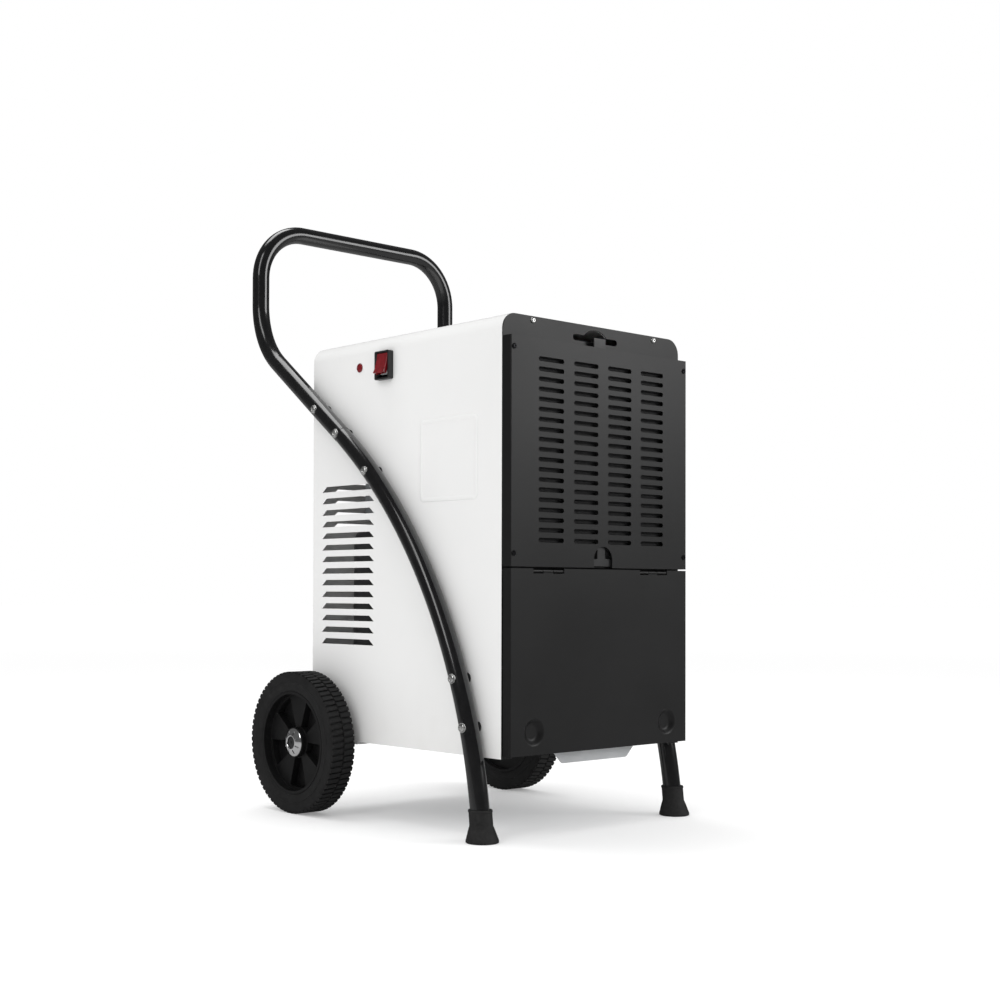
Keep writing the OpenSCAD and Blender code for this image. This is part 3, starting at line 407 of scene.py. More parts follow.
zinc = Finish("galvanised", metallic=1.0)
cell = zinc.node("TexVoronoi", {}, {"Vector": zinc.place, "Scale": 95.0}, "Color")
shade = zinc.node("SeparateColor", {}, {"Color": cell}, "Red")
zinc.wear(base_color=zinc.ramp(shade, (0.0, (0.36, 0.38, 0.40)), (1.0, (0.60, 0.62, 0.64))),
          roughness=0.30 + shade * 0.22, normal=zinc.bump(shade + zinc.noise(1.2, 3) * 0.5, 0.12, 0.05))
FINISHES["galvanised"] = zinc.material


def paint(name, colours, rough, spread, size, grain, relief, depth=0.08, **even):
    coat = Finish(name, **even)
    blot = coat.noise(size, 4)
    coat.wear(base_color=coat.ramp(blot, (0.3, colours[0]), (0.75, colours[1])),
              roughness=rough + blot * spread, normal=coat.bump(coat.noise(grain, 3), relief, depth))
    FINISHES[name] = coat.material
    return coat


# compressor_paint is near black as painted shade: the compressor's own coat is a lighter grey, and this colour is
# darkened so the inside seen through the side louvres stays dark.
paint("compressor_paint", [(0.022, 0.022, 0.023), (0.035, 0.035, 0.037)], 0.38, 0.15, 50, 2.0, 0.3)
paint("dark_paint", [(0.03, 0.03, 0.032), (0.05, 0.05, 0.052)], 0.45, 0.2, 40, 1.6, 0.35)
paint("circuit_board", [(0.01, 0.075, 0.035), (0.02, 0.13, 0.06)], 0.3, 0.2, 3, 1.0, 0.4)
print("metals ready")

# %% [markdown]
# ## Rubber and plastics
# The feet and tyres are matt charcoal rubber: it scatters light, has a fine mould
# grain and holds a little pale dust. The wheel's plastic is smoother and a shade
# lighter. The switch is glossy red plastic with a coat, and the tank is milky
# polypropylene, so part of the light goes through it.

# %% Rubber, moulded plastic, foam and tank
for name, size, dust in (("rubber_black", 14, 0.45), ("tyre_rubber", 9, 0.2)):
    coat = paint(name, [(0.006, 0.006, 0.0063), (0.012, 0.012, 0.0125)], 0.58, 0.22, size, 0.9, 0.35,
                 specular_ior_level=0.3)
    film = coat.noise(30, 5) * coat.noise(3.5, 3)
    rubber = coat.ramp(coat.noise(size, 4), (0.3, (0.005, 0.005, 0.0053)), (0.75, (0.010, 0.010, 0.0105)))
    coat.wear(base_color=coat.mix(film * dust, rubber, (0.07, 0.068, 0.065)))
paint("hub_plastic", [(0.004, 0.004, 0.0042), (0.008, 0.008, 0.0084)], 0.42, 0.18, 25, 0.8, 0.25,
      specular_ior_level=0.3)
paint("black_plastic", [(0.010, 0.010, 0.0105), (0.018, 0.018, 0.0185)], 0.34, 0.2, 18, 0.7, 0.2)
paint("tray_plastic", [(0.06, 0.06, 0.062), (0.085, 0.085, 0.088)], 0.4, 0.2, 25, 1.0, 0.2)
paint("float_plastic", [(0.75, 0.32, 0.08), (0.85, 0.42, 0.12)], 0.45, 0.2, 8, 1.2, 0.5)
paint("red_plastic", [(0.12, 0.002, 0.005), (0.18, 0.005, 0.009)], 0.10, 0.12, 7, 2.5, 0.1,
      coat_weight=0.8, coat_roughness=0.03, subsurface_weight=0.05)
paint("tank_plastic", [(0.42, 0.43, 0.44), (0.50, 0.51, 0.52)], 0.34, 0.15, 35, 1.8, 0.2,
      transmission_weight=0.2, ior=1.49)

foam = Finish("filter_foam")
threads = []
for letter in "XZ":
    thread = foam.node("Math", {"operation": "SINE"}, {0: foam.axis(letter) * (2 * pi / 0.0026)})
    threads.append(thread * 0.5 + 0.5)
weave = foam.node("Math", {"operation": "MAXIMUM"}, {0: threads[0] ** 3, 1: threads[1] ** 3})
foam.wear(base_color=foam.ramp(weave, (0.2, (0.001, 0.001, 0.001)), (0.85, (0.016, 0.016, 0.017))),
          roughness=0.5 + weave * 0.2, normal=foam.bump(weave, 0.9, 0.5))
FINISHES["filter_foam"] = foam.material
print(len(FINISHES), "finishes")

# %% Every CAD node gets its finish
for node, obj in frame["nodes"].items():
    obj.data.materials.clear()
    obj.data.materials.append(FINISHES[SLOTS[node]])
print("finishes on", len(frame["nodes"]), "CAD nodes")

# %% [markdown]
# ## The folded casing
# The casing is one sheet of 1.2 mm steel folded over the top with a 21 mm bend, open
# in front, behind and below, with a 13.5 mm flange turned in at both ends. A solid
# block with its two long top edges bevelled has the outside; opening its ends and
# giving it the sheet's thickness makes it a real shell, so the louvres show depth.
# The rear flange sits one sheet further in, because the rear panel lies on it.

# %% Shell with turned-in flanges
SIDE, TOP, SKIRT, DEEP = 167.5, 666, 104, 401


def rounded_block(name, low, high, radius, segments=12):
    """Block with its two upper edges rounded along its depth."""
    obj = block(name, low, high)
    pick(obj, "EDGE", lambda place, run: abs(run.y) > 1 and place.z > high[2] - 0.1)
    bpy.ops.mesh.bevel(offset=radius / 1000, segments=segments, affect="EDGES")
    alone()
    return obj


casing = rounded_block("casing_shell", (-SIDE, 0, SKIRT), (SIDE, DEEP, TOP), 21)
pick(casing, "FACE", lambda place, way: way.y < -0.9)
bpy.ops.mesh.inset(thickness=0.0135, use_even_offset=True)
pick(casing, "FACE", lambda place, way: way.z < -0.9 or way.y > 0.9 or way.y < -0.9 and (
    (abs(place.x) < 120 and SKIRT + 30 < place.z < TOP - 30) or place.z < SKIRT + 12 and abs(place.x) < 120))
bpy.ops.mesh.delete(type="FACE")
change(casing, "SOLIDIFY", thickness=0.0012, offset=-1, use_even_offset=True)
flange = rounded_block("flange", (-SIDE + 0.9, DEEP - 2.4, SKIRT + 8.5),
                       (SIDE - 0.9, DEEP - 1.2, TOP - 0.9), 20.1)
cut(flange, rounded_block("cutter", (-SIDE + 13.5, 390, SKIRT - 1), (SIDE - 13.5, 405, TOP - 13.5), 7.5))
casing = joined("casing_shell", [casing, flange])
print("casing shell", len(casing.data.polygons), "faces")

# %% [markdown]
# The louvres are flat trapezoid openings punched in the sheet. One cutter is a block
# with its upper edge drawn in; it is copied up the side and taken out in one go.

# %% Louvre openings, the axle notch and the finger opening
def louvre_cutter(low, high, across):
    """Block that is narrower along its top, to 5/6 of its length."""
    obj = block("cutter", low, high)
    middle = (at(*low) + at(*high)) / 2
    pick(obj, "FACE", lambda place, way: way.z > 0.9)
    shrink = (1, 5 / 6, 1) if across == "Y" else (5 / 6, 1, 1)
    bpy.ops.transform.resize(value=shrink, center_override=middle)
    alone()
    return obj


first = louvre_cutter((-180, 259, 239), (180, 379, 246.8), "Y")
cutters = [first] + copies(first, [(0, 0, i * 16.64) for i in range(1, 14)])
cut(casing, joined("cutter", cutters))


def finger_cutter():
    """Slot with round ends and an arch over its middle, to pull the filter by."""
    slot = block("cutter", (-42, -8, 644), (42, 6, 652))
    pick(slot, "EDGE", lambda place, run: abs(run.y) > 1)
    bpy.ops.mesh.bevel(offset=0.0039, segments=6, affect="EDGES")
    alone()
    arch = drum("cutter", (0, -8, 631), "Y", 30, 14, 64)
    cut(arch, block("cutter", (-22, -9, 646), (22, 7, 670)), "INTERSECT")
    return cut(slot, arch, "UNION")


cut(casing, finger_cutter())
cut(casing, drum("cutter", (-180, 379, 100), "X", 7, 360, 32))
soften(casing, 0.25, 2, 40)
done(casing, FINISHES["white_paint"], stands_for=["casing"], angle=25)

# %% Raised square on both sides
square = block("raised_frame_right", (167.2, 45, 432), (167.7, 160, 542))
pick(square, "EDGE", lambda place, run: abs(run.x) > 0.3)
bpy.ops.mesh.bevel(offset=0.008, segments=8, affect="EDGES")
pick(square, "FACE", lambda place, way: way.x > 0.9)
for wide, rise in ((1.2, 0.35), (1.4, 0.25), (1.4, 0.0), (1.4, -0.25), (1.2, -0.35)):
    bpy.ops.mesh.inset(thickness=wide / 1000)
    bpy.ops.transform.translate(value=(rise / 1000, 0, 0))
alone()
twin = mirrored(square, "raised_frame_left")
for piece in (square, twin):
    done(piece, FINISHES["white_paint"], angle=80)

# %% Rear panel with its louvres and the gland hole
back = rounded_block("rear_panel_sheet", (-165.9, 399.8, 121), (165.9, 401, 664.4), 19.4)
slits = []
for x in (-74, 74):
    first = louvre_cutter((x - 60, 395, 405.4), (x + 60, 405, 413.2), "X")
    slits += [first] + copies(first, [(0, 0, i * 16.64) for i in range(1, 10)])
cut(back, joined("cutter", slits))
cut(back, drum("cutter", (95, 395, 172), "Y", 8.1, 10))
soften(back, 0.25, 2, 40)
done(back, FINISHES["white_paint"], stands_for=["rear_panel"], angle=25)

# %% [markdown]
# ## Black front panels
# Behind the grille is a flat black plate; the grille and the flap are shallow trays
# of 1.5 mm sheet, bent back along both sides. Their slots are punched, so the edges
# are almost sharp, but even a quarter of a millimetre of round gives each slot the
# bright edge line that sheet metal has.

# %% Front plate
plate = rounded_block("front_plate_sheet", (-SIDE, -1.5, SKIRT), (SIDE, 0, TOP), 21)
cut(plate, block("cutter", (-148, -5, 362.4), (148, 5, 632.4)))
cut(plate, block("cutter", (-150, -5, 90), (150, 5, 318.4)))
cut(plate, finger_cutter())
soften(plate, 0.25, 2, 40)
done(plate, FINISHES["black_paint"], stands_for=["front_plate"], angle=25)


# %% Grille panel with its slots
def tray(name, low, high, wall=1.5):
    """Sheet bent back along both sides and the bottom, open behind and above."""
    obj = block(name, low, high)
    pick(obj, "FACE", lambda place, way: way.y > 0.9 or way.z > 0.9)
    bpy.ops.mesh.delete(type="FACE")
    pick(obj, "EDGE", lambda place, run: abs(run.z) > 1 and place.y < low[1] + 1)
    bpy.ops.mesh.bevel(offset=0.0016, segments=5, affect="EDGES")
    alone()
    return change(obj, "SOLIDIFY", thickness=wall / 1000, offset=-1, use_even_offset=True)


FACE = -16.3
grille = tray("grille_sheet", (-SIDE, FACE, 345.4), (SIDE, -1.5, 635.4))
slot = block("cutter", (-22.75, FACE - 3, -3), (22.75, FACE + 5, 3))
pick(slot, "EDGE", lambda place, run: abs(run.y) > 1)
bpy.ops.mesh.bevel(offset=0.0029, segments=5, affect="EDGES")
alone()
SLOT_PITCH, ROW_PITCH = 64, 12.8
punches = copies(slot, [((column - 1.5) * SLOT_PITCH, 0, 379.4 + row * ROW_PITCH)
                        for column in range(4) for row in range(19)])
bpy.data.objects.remove(slot)
cut(grille, joined("cutter", punches))
notch = drum("cutter", (0, FACE - 5, 355.9), "Y", 17.5, 12, 48)
cut(grille, cut(notch, block("cutter", (-17.5, FACE - 4, 340), (17.5, FACE + 6, 355.9)), "UNION"))
soften(grille, 0.3, 2, 40)
done(grille, FINISHES["black_paint"], stands_for=["grille_panel"], angle=25)

# %% [markdown]
# The flap below has two round pressed dishes near its lower corners. Each dish is a
# disc that is inset twice, with its middle pushed back, then given the same sheet
# thickness as the flap.

# %% Flap with pressed dishes
flap = tray("flap_sheet", (-SIDE, FACE, 107.8), (SIDE, -3, 343.4))
for x in (-100, 100):
    cut(flap, block("cutter", (x - 27.5, FACE - 4, 337), (x + 27.5, 2, 350)))
for x in (-126, 126):
    cut(flap, drum("cutter", (x, FACE - 4, 136.8), "Y", 17.95, 8, 64))


def pressed_dish(x):
    alone()
    bpy.ops.mesh.primitive_circle_add(vertices=64, radius=0.018, fill_type="NGON", location=at(x, FACE, 136.8),
                                      rotation=(pi / 2, 0, 0))
    obj = settle("dish")
    pick(obj, "FACE", lambda place, way: True)
    for rim, push in ((1.4, 0.25), (2.0, 1.4), (2.6, 2.2), (2.0, 0.9), (2.2, 0.25)):
        bpy.ops.mesh.inset(thickness=rim / 1000)
        bpy.ops.transform.translate(value=(0, push / 1000, 0))
    alone()
    return change(obj, "SOLIDIFY", thickness=0.0015, offset=-1, use_even_offset=True)


flap = joined("flap_sheet", [flap, pressed_dish(-126), pressed_dish(126)])
soften(flap, 0.3, 2, 50)
done(flap, FINISHES["black_paint"], "flap", ["flap"], angle=28)

# %% [markdown]
# ## Bent frame tube
# One 25 mm tube runs from foot to foot through the handle. On the real trolley the
# legs plug into the handle on inner sleeves, which leaves a thin seam. A ring of
# edges is pulled along the straights and spun round the bends, as the tube bender
# does it, and one half is mirrored.

# %% Sweep of the left half, then its mirror
TUBE_X, RAIL_R, FOOT_Y = 182.5, 12.5, 17.8
LEAN, SLOPE = radians(6.2), (0.8, 0.6)
LEG_R, SHOULDER_R, HANDLE_R = 740, 116, 75


def pull(y, z, x=0):
    bpy.ops.mesh.extrude_region_move(TRANSFORM_OT_translate={"value": (x / 1000, y / 1000, z / 1000)})


def bend(centre, axis, angle, steps):
    """Spins the open end round a centre, by a right-hand angle in degrees."""
    bpy.ops.mesh.spin(steps=steps, angle=-radians(angle), center=at(*centre), axis=axis)


def grip(size):
    """Scales the open end about its own middle."""
    bpy.ops.transform.resize(value=(size, size, size), center_override=end_middle())


def end_middle():
    bpy.context.object.update_from_editmode()
    chosen = [point.co for point in bpy.context.object.data.vertices if point.select]
    return sum(chosen, Vector()) / len(chosen)


def end_spot():
    """The open end's middle in millimetres, as given to at()."""
    return end_middle() * 1000 - Vector((0, FRONT, 0))


leg_y, leg_z = FOOT_Y + 20 * sin(LEAN), 20 * cos(LEAN)
leg_centre = (leg_y + LEG_R * cos(LEAN), leg_z - LEG_R * sin(LEAN))
alone()
bpy.ops.mesh.primitive_circle_add(
    vertices=40, radius=RAIL_R / 1000, fill_type="NOTHING",
    location=at(-TUBE_X, FOOT_Y + 6 * sin(LEAN), 6 * cos(LEAN)), rotation=(-LEAN, 0, 0))
rail = settle("frame_tube")
pick(rail, "EDGE", lambda place, run: True)
pull(14 * sin(LEAN), 14 * cos(LEAN))
bend((-TUBE_X, *leg_centre), (1, 0, 0), -(degrees(atan2(*SLOPE)) - degrees(LEAN)), 40)
seam = end_spot()
print("seam at", [round(v, 1) for v in seam])
grip(0.965)
pull(0.5 * SLOPE[0], 0.5 * SLOPE[1])
grip(1 / 0.965)
shoulder_z = round(10 * (seam.z + (517 - seam.y) * 0.75)) / 10
upturn = 90 - degrees(atan2(SLOPE[1], SLOPE[0]))
take = SHOULDER_R * tan(radians(upturn) / 2)
goal = Vector((0, 517 - take * SLOPE[0], shoulder_z - take * SLOPE[1]))
here = end_spot()
pull(goal.y - here.y, goal.z - here.z)
bend((-TUBE_X, goal.y - SHOULDER_R * SLOPE[1], goal.z + SHOULDER_R * SLOPE[0]), (1, 0, 0), upturn, 20)
here = end_spot()
pull(0, 784.5 - here.z)
bend((-TUBE_X + HANDLE_R, here.y, 784.5), (0, 1, 0), 90, 20)
pull(0, 0, -end_spot().x)
print("handle end", [round(v, 2) for v in end_spot()])
change(rail, "MIRROR", use_axis=(True, False, False), use_mirror_merge=True, merge_threshold=0.0005)
pick(rail, "FACE", lambda place, way: True)
bpy.ops.mesh.normals_make_consistent(inside=False)
pick(rail, "EDGE", lambda place, run: place.z < 8)
bpy.ops.mesh.fill_holes(sides=100)
alone()

# %% [markdown]
# Each frame screw sits in a shallow dimple, because the round tube is flattened
# where it is clamped. A ball pressed a little way into the tube makes the dimple.

# %% Dimples under the screws
def rail_y(z):
    """Where the tube's middle line is at a height."""
    if z < seam.z:
        return leg_centre[0] - sqrt(LEG_R ** 2 - (z - leg_centre[1]) ** 2)
    return seam.y + (z - seam.z) * SLOPE[0] / SLOPE[1]


SCREW_Z = (142, 203, 478, 534, 572)
balls = []
for z in SCREW_Z:
    for side in (-1, 1):
        alone()
        bpy.ops.mesh.primitive_uv_sphere_add(
            segments=32, ring_count=16, radius=0.014,
            location=at(side * (TUBE_X + RAIL_R + 12.6), rail_y(z), z), scale=(1, 1, 1.25))
        balls.append(settle("cutter"))
cut(rail, joined("cutter", balls))
done(rail, FINISHES["gloss_black_tube"],
     stands_for=["leg_tube_left", "leg_tube_right", "handle_tube"], angle=40)

# %% [markdown]
# ## Turned shapes
# Feet, tyres, caps, screws and the lamp are all round, so one helper draws a ring
# and pulls it up a profile of radii and heights, widening or narrowing as it goes.

# %% Pulling a ring along a profile
def turn(name, start, towards, profile, sides=48, ring=False):
    """Turned piece: profile is a list of (radius, height); ring joins the last to the first."""
    alone()
    axis, begin = AXES[towards], at(*start)
    radius, height = profile[0]
    bpy.ops.mesh.primitive_circle_add(
        vertices=sides, radius=radius / 1000, fill_type="NOTHING" if ring else "NGON",
        location=begin + axis * height / 1000, rotation=TURNS[towards])
    obj = settle(name)
    pick(obj, "EDGE" if ring else "FACE", lambda place, way: True)
    before = radius
    for radius, step in profile[1:] + (profile[:1] if ring else []):
        bpy.ops.mesh.extrude_region_move(TRANSFORM_OT_translate={"value": axis * (step - height) / 1000})
        grow = radius / before
        bpy.ops.transform.resize(value=(grow, grow, grow), center_override=begin + axis * step / 1000)
        before, height = radius, step
    bpy.ops.mesh.select_all(action="SELECT")
    bpy.ops.mesh.remove_doubles(threshold=2e-6)
    bpy.ops.mesh.normals_make_consistent(inside=False)
    alone()
    return obj


# %% Rubber feet
foot = turn("rubber_foot_left", (-TUBE_X, FOOT_Y, 0), "Z",
            [(19.8, 0), (21, 0.8), (21, 3.2), (20.4, 5), (19.0, 9.5), (17.4, 14.5), (16.2, 18), (15.2, 20.5),
             (15.0, 22), (15.0, 37.6), (15.6, 38.4), (15.6, 40.2), (15.0, 41), (13.2, 41.2), (12.7, 39)], 64)
for point in foot.data.vertices:
    point.co.y += max(point.co.z - 0.004, 0) * tan(LEAN)
twin = mirrored(foot, "rubber_foot_right")
done(foot, FINISHES["rubber_black"], stands_for=["rubber_feet"], angle=30)
done(twin, FINISHES["rubber_black"], stands_for=["rubber_feet"], angle=30)

# %% [markdown]
# ## Wheels
# The tyre is solid rubber with a smooth stepped side and a fine block tread round
# its crown: two rows of slanted blocks, staggered by half a block, which run to
# the shoulders. One block is
# modelled and copied round the wheel, so each copy stays cheap.

# %% Tyre body and tread
WHEEL = (201.85, 379, 100)
tyre = turn("tyre_side_left", (-WHEEL[0], *WHEEL[1:]), "-X",
            [(71.9, -17.0), (72.6, -17.8), (75.5, -20.0), (79, -20.35), (84.5, -20.35), (85.4, -19.6), (93.5, -19.5),
             (96.6, -19.0), (97.6, -18.0), (97.6, 18.0), (96.6, 19.0), (93.5, 19.5), (85.4, 19.6), (84.5, 20.35),
             (79, 20.35), (75.5, 20.0), (72.6, 17.8), (71.9, 17.0)], 120, ring=True)
lug = block("tread_block", (-WHEEL[0] + 0.6, 379 - 3.3, 196.8), (-WHEEL[0] + 18.6, 379 + 3.3, 199.94))
pick(lug, "VERT", lambda place, way: place.x > -WHEEL[0] + 10)
bpy.ops.transform.translate(value=(0, 0.0026, 0))
pick(lug, "VERT", lambda place, way: place.z > 198)
bpy.ops.transform.resize(value=(0.985, 0.86, 1), center_override=at(-WHEEL[0] + 9.6, 379 + 1.3, 199))
alone()
lugs = []
for row, (flip, shift) in enumerate(((1, 0), (-1, 2.5))):
    for i in range(72):
        twin = copies(lug, [(0, 0, 0)])[0]
        if flip < 0:
            middle = Matrix.Translation(at(-WHEEL[0], 379, 100))
            twin.data.transform(middle @ Matrix.Rotation(pi, 4, "Z") @ middle.inverted())
        lugs.append(turned(twin, (-WHEEL[0], *WHEEL[1:]), "X", i * 5 + shift))
bpy.data.objects.remove(lug)
tread = joined("tread_left", lugs)
soften(tread, 0.35, 1, 40)
tyre = joined("tyre_left_finish", [tyre, tread])
other = mirrored(tyre, "tyre_right_finish")
done(tyre, FINISHES["tyre_rubber"], "wheel_left", ["tyre_left"], 32)
done(other, FINISHES["tyre_rubber"], "wheel_right", ["tyre_right"], 32)

# %% [markdown]
# The rim is a moulded five-spoke disc. Its shape in the CAD model is already right,
# so a copy gets generous moulded rounds on every edge. The end cap is a chromed
# dome with eight slots and a dark hole in its middle.

# %% Rims
for side, name in ((-1, "left"), (1, "right")):
    rim = copy_of("hub_" + name, 0.9, 3, 35)
    done(rim, FINISHES["hub_plastic"], "wheel_" + name, ["hub_" + name], 30)

# %% Axle fittings and end caps
fittings = copy_of("axle_fittings", 0)
pick(fittings, "FACE", lambda place, way: abs(place.x) > 214)
bpy.ops.mesh.delete(type="FACE")
soften(alone(fittings), 0.3, 2, 35)
done(fittings, FINISHES["zinc_steel"], stands_for=["axle_fittings"])
cap = turn("end_cap_left", (-215.4, *WHEEL[1:]), "-X",
           [(20, 0.2), (20, 1.2), (19.2, 2.2), (17.2, 3.2), (14.4, 4.6), (11.8, 5.5), (10.2, 5.9), (9.2, 5.8),
            (8.6, 5.2), (8.4, 2.2)], 64)
gaps = []
for i in range(8):
    gap = block("cutter", (-223, 377.9, 111.2), (-217.4, 380.1, 117))
    gaps.append(turned(gap, (-WHEEL[0], *WHEEL[1:]), "X", i * 45 + 22.5))
cut(cap, joined("cutter", gaps))
soften(cap, 0.25, 2, 40)
plug = turn("cap_plug_left", (-215.4, *WHEEL[1:]), "-X",
            [(8.2, 1.6), (8.2, 3.4), (7.4, 3.9), (2.4, 3.9), (2.2, 3.0)], 48)
for piece, finish in ((cap, "chrome"), (plug, "black_plastic")):
    twin = mirrored(piece, piece.name.replace("left", "right"))
    for half in (piece, twin):
        done(half, FINISHES[finish], angle=35)

# %% [markdown]
# ## Screws
# Three kinds are visible: zinc pan heads with a hexagon socket in the frame tube,
# black pan heads with a cross in the grille, and two small zinc ones in the plate
# above it. A head is a turned dome, and its drive is cut out of it.

# %% Screw heads with their drives
def dome(name, place, towards, radius, height, drive):
    """Pan head with a hexagon or a cross drive."""
    outline = ((0.97, 0), (1, 0.15), (0.97, 0.45), (0.84, 0.75), (0.6, 0.93), (0.55, 1))
    head = turn(name, place, towards, [(radius * r, height * h) for r, h in outline], 40)
    axis = AXES[towards]
    if drive == "hexagon":
        tool = drum("cutter", Vector(place) + axis * height * 0.35, towards, radius * 0.46, height, 6)
    else:
        start = Vector(place) + axis * height * 0.5
        far = start + axis * height
        bars = []
        for long in [i for i in range(3) if not axis[i]]:
            reach = [0 if axis[i] else radius * (0.55 if i == long else 0.16) for i in range(3)]
            low = [min(start[i], far[i]) - reach[i] for i in range(3)]
            high = [max(start[i], far[i]) + reach[i] for i in range(3)]
            bars.append(block("cutter", low, high))
        tool = cut(bars[0], bars[1], "UNION")
    cut(head, tool)
    return head


rail_heads = []
for z in SCREW_Z:
    rail_heads.append(dome("head", (-TUBE_X - RAIL_R, rail_y(z), z), "-X", 5.4, 2.4, "hexagon"))
    rail_heads.append(turn("washer", (-TUBE_X - RAIL_R + 1.4, rail_y(z), z), "-X",
                           [(6.6, -1.2), (6.6, 0.9), (6.3, 1.2)], 32))
    rail_heads.append(turn("nut", (-SIDE + 1.2, rail_y(z), z), "X", [(5.25, 0), (5.25, 4.7), (4.8, 5.0)], 6))
    rail_heads.append(turn("shank", (-TUBE_X, rail_y(z), z), "X", [(3, -10), (3, 21)], 20))
rail_screws = joined("frame_screws_left", rail_heads)
twin = mirrored(rail_screws, "frame_screws_right")
for piece in (rail_screws, twin):
    done(piece, FINISHES["zinc_steel"], stands_for=["frame_screws"], angle=30)

spots = [(x, FACE, z) for x in (-161.8, 161.8) for z in (362, 621)]
heads = [dome("head", spot, "-Y", 3.5, 2.1, "cross") for spot in spots]
heads += [turn("shank", spot, "Y", [(2, -0.2), (2, 15.6)], 16) for spot in spots]
done(joined("grille_screw_heads", heads), FINISHES["black_screw"],
     stands_for=["grille_screws"], angle=30)
spots = [(x, -1.5, 660.6) for x in (-115, 115)]
heads = [dome("head", spot, "-Y", 3.9, 2.1, "hexagon") for spot in spots]
heads += [turn("shank", spot, "Y", [(2, -0.2), (2, 11.5)], 16) for spot in spots]
done(joined("plate_screw_heads", heads), FINISHES["zinc_steel"],
     stands_for=["plate_screws"], angle=30)

# %% [markdown]
# ## Switch and lamp
# The rocker switch sits in a black frame that stands 8.5 mm out of the casing. The
# rocker is a bar with a shallow valley across its face, glossy red, tipped about a
# pin. The lamp beside it is a low red lens in a thin rim.

# %% Switch frame
body = block("switch_frame", (-176, 217.5, 603.5), (-SIDE, 248.5, 642.5))
pick(body, "EDGE", lambda place, run: abs(run.x) > 1)
bpy.ops.mesh.bevel(offset=0.0022, segments=4, affect="EDGES")
pick(body, "FACE", lambda place, way: way.x < -0.9)
bpy.ops.mesh.inset(thickness=0.0012)
bpy.ops.transform.translate(value=(0.0009, 0, 0))
alone()
cut(body, block("cutter", (-180, 221, 606), (-166, 245, 640)))
back_half = block("switch_body", (-168.5, 219.7, 605.7), (-149.3, 246.3, 640.3))
cut(back_half, block("cutter", (-170, 221, 606), (-167.5, 245, 640)))
cut(back_half, block("cutter", (-171, 221, 611), (-154.5, 245, 635)))
body = joined("switch_frame", [body, back_half])
soften(body, 0.5, 3, 40)
done(body, FINISHES["black_plastic"], stands_for=["switch_housing"], angle=30)

# %% Rocker
rocker = block("rocker_face", (-179, 221.5, 609), (-172.5, 244.5, 637))
pick(rocker, "EDGE", lambda place, run: abs(run.z) > 1)
bpy.ops.mesh.subdivide(number_cuts=7)
alone()
for point in rocker.data.vertices:
    spot = point.co * 1000
    if spot.x < -178:
        point.co.x += 0.0016 * (1 - ((spot.z - 623) / 14) ** 2)
soften(rocker, 0.9, 4, 50)
stem = block("rocker_stem", (-173.5, 221.5, 617), (-163.5, 244.5, 629))
rocker = joined("rocker_cap", [rocker, stem])
turned(rocker, (-168.5, 233, 623), "Y", 15)
done(rocker, FINISHES["red_plastic"], "rocker", ["switch_rocker"], 35)

# %% Lamp
lens = turn("lamp_lens", (-SIDE, 292, 626), "-X",
            [(6.4, -0.1), (6.5, 0.5), (6.2, 0.9), (5.6, 0.9), (5.4, 1.2), (4.6, 1.6), (3.0, 1.85), (1.2, 1.98)], 48)
done(lens, FINISHES["red_plastic"], stands_for=["indicator_lamp"], angle=30)

# %% Cable gland with a gripping nut
gland = turn("gland_nut", (95, 401, 172), "Y",
             [(12, 0), (12, 3.4), (10.6, 3.9), (10.6, 5.2), (11.6, 5.6), (11.2, 9.6), (8.4, 11.6), (5.0, 12.0),
              (4.0, 11.6), (4.0, -26.0), (6.6, -26.0), (8.0, -14), (8.0, -0.2)], 48)
grips = [turned(block("cutter", (94.1, 406.8, 182.4), (95.9, 414, 186)), (95, 401, 172), "Y", i * 22.5)
         for i in range(16)]
cut(gland, joined("cutter", grips))
done(gland, FINISHES["black_plastic"], stands_for=["cable_gland"], angle=30)

# %% [markdown]
# ## Behind the louvres
# The machine's inside shows through the louvres, the tank bay and the back. Those
# parts have simple true shapes already, so each keeps the CAD model's shape in a
# merged copy with its edges rounded a little, which takes away the faceted look.

# %% Softened copies of the inner parts
SOFT = {"compressor": 0, "accumulator": 0, "suction_pipes": 0, "discharge_pipe": 0, "liquid_pipe": 0,
        "capillary": 0, "evaporator_tube": 0, "condenser_tube": 0, "filter_drier": 0.8, "fan_rotor": 0.4,
        "fan_motor": 2.5, "control_box": 0.5, "capacitor": 1.2, "compressor_base": 0.4,
        "compressor_grommets": 1.2, "fan_shroud": 0.2, "base_pan": 0.2, "bay_liner": 0.3, "drip_tray": 0.5,
        "filter_frame": 0.5, "float_block": 2.0, "float_arm": 0.8, "axle": 0.8, "motor_bracket": 0.3,
        "hinge_leaves_fixed": 0.25, "hinge_leaves_moving": 0.25}
BODIES = frame["record"]["behaviour"]["bodies"]
BODY_OF = {node: body for body, nodes in BODIES.items() for node in nodes}
for node, width in SOFT.items():
    done(copy_of(node, width, 2, 40), FINISHES[SLOTS[node]], BODY_OF.get(node, "root"), [node], 35)

# %% [markdown]
# The water tank is a milky moulded tray with a sump under its rear half. The light
# lip that shows below the flap is its grip. Its edges are rounded like the rest.

# %% Tank
tank = copy_of("tank", 1.6, 3, 40)
done(tank, FINISHES["tank_plastic"], "tank", ["tank"], 35)

# %% [markdown]
# ## Studio
# White goods on white are lit with a bright floor and a pale surround, while the
# gloss of black paint has to see something darker, or it turns grey. The surround is
# therefore dimmer for glossy reflections than for everything else, the floor glows
# a little so that only soft contact shadows stay, and three large soft lights draw
# the long highlights on the tubes.

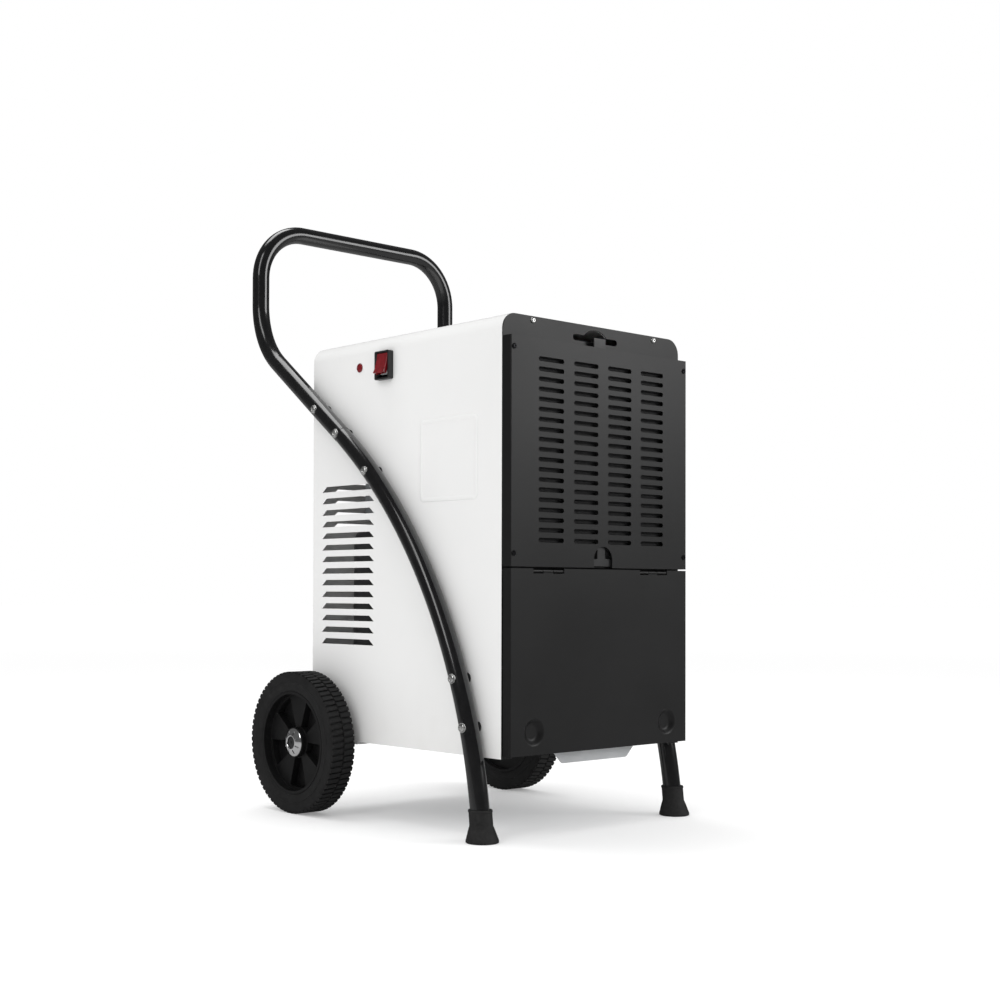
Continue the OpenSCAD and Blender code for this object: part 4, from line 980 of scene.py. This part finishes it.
# %% Floor and surround
alone()
bpy.ops.mesh.primitive_circle_add(vertices=96, radius=30, fill_type="NGON", location=(0, 0, 0))
floor = settle("studio_floor")
pale = Finish("studio_floor", roughness=0.7, specular_ior_level=0.1, emission_strength=1.0)
away = pale.node("VectorMath", {"operation": "LENGTH"}, {0: pale.place}, "Value")
glow = pale.node("MapRange", {}, {"Value": away, 1: 0.6, 2: 7.0, 3: 0.24, 4: 1.0})
rest_of = pale.node("MapRange", {}, {"Value": away, 1: 0.6, 2: 7.0, 3: 0.74, 4: 0.02})
mirror = pale.node("LightPath", {}, {}, "Is Glossy Ray")
glow = glow * (1 - mirror * 0.8)
rest_of = rest_of * (1 - mirror * 0.6)
pale.wear(base_color=pale.node("CombineColor", {}, {0: rest_of, 1: rest_of, 2: rest_of}),
          emission_color=pale.node("CombineColor", {}, {0: glow, 1: glow, 2: glow}))
floor.data.materials.append(pale.material)

world = bpy.data.worlds.new("studio_light")
bpy.context.scene.world = world
world.use_nodes = True
tree = world.node_tree
ray = tree.nodes.new("ShaderNodeLightPath")
level = tree.nodes.new("ShaderNodeMapRange")
level.inputs["To Min"].default_value, level.inputs["To Max"].default_value = 1.0, 0.10
tree.links.new(ray.outputs["Is Glossy Ray"], level.inputs["Value"])
tree.links.new(level.outputs["Result"], tree.nodes["Background"].inputs["Strength"])
tree.nodes["Background"].inputs["Color"].default_value = (1, 1, 1, 1)


# %% Soft lights and the camera
def soft_light(name, place, target, size, watts):
    alone()
    bpy.ops.object.light_add(type="AREA", location=place)
    lamp = bpy.context.object
    lamp.name, lamp.data.shape, lamp.data.size, lamp.data.energy = name, "RECTANGLE", size[0], watts
    lamp.data.size_y = size[1]
    lamp.rotation_euler = (Vector(target) - Vector(place)).to_track_quat("-Z", "Y").to_euler()


soft_light("key_light", (-2.9, -1.0, 2.6), (0, 0, 0.35), (0.9, 2.2), 24)
soft_light("fill_light", (2.0, -2.5, 1.5), (0, 0, 0.5), (1.5, 1.3), 30)
soft_light("top_light", (-0.2, 0.9, 3.2), (0, 0.2, 0.4), (1.8, 1.2), 28)

alone()
bpy.ops.object.camera_add(location=(-1.4596, -1.6477, 0.3134),
                          rotation=(radians(90.978), radians(-0.167), radians(-41.713)))
camera = bpy.context.object
camera.name = "camera"
camera.data.sensor_width, camera.data.lens = 36, 54.63
camera.data.shift_x, camera.data.shift_y = 0.0291, 0.0660
camera.data.clip_end = 60
bpy.context.scene.camera = camera
bpy.context.scene.view_settings.view_transform = "Standard"
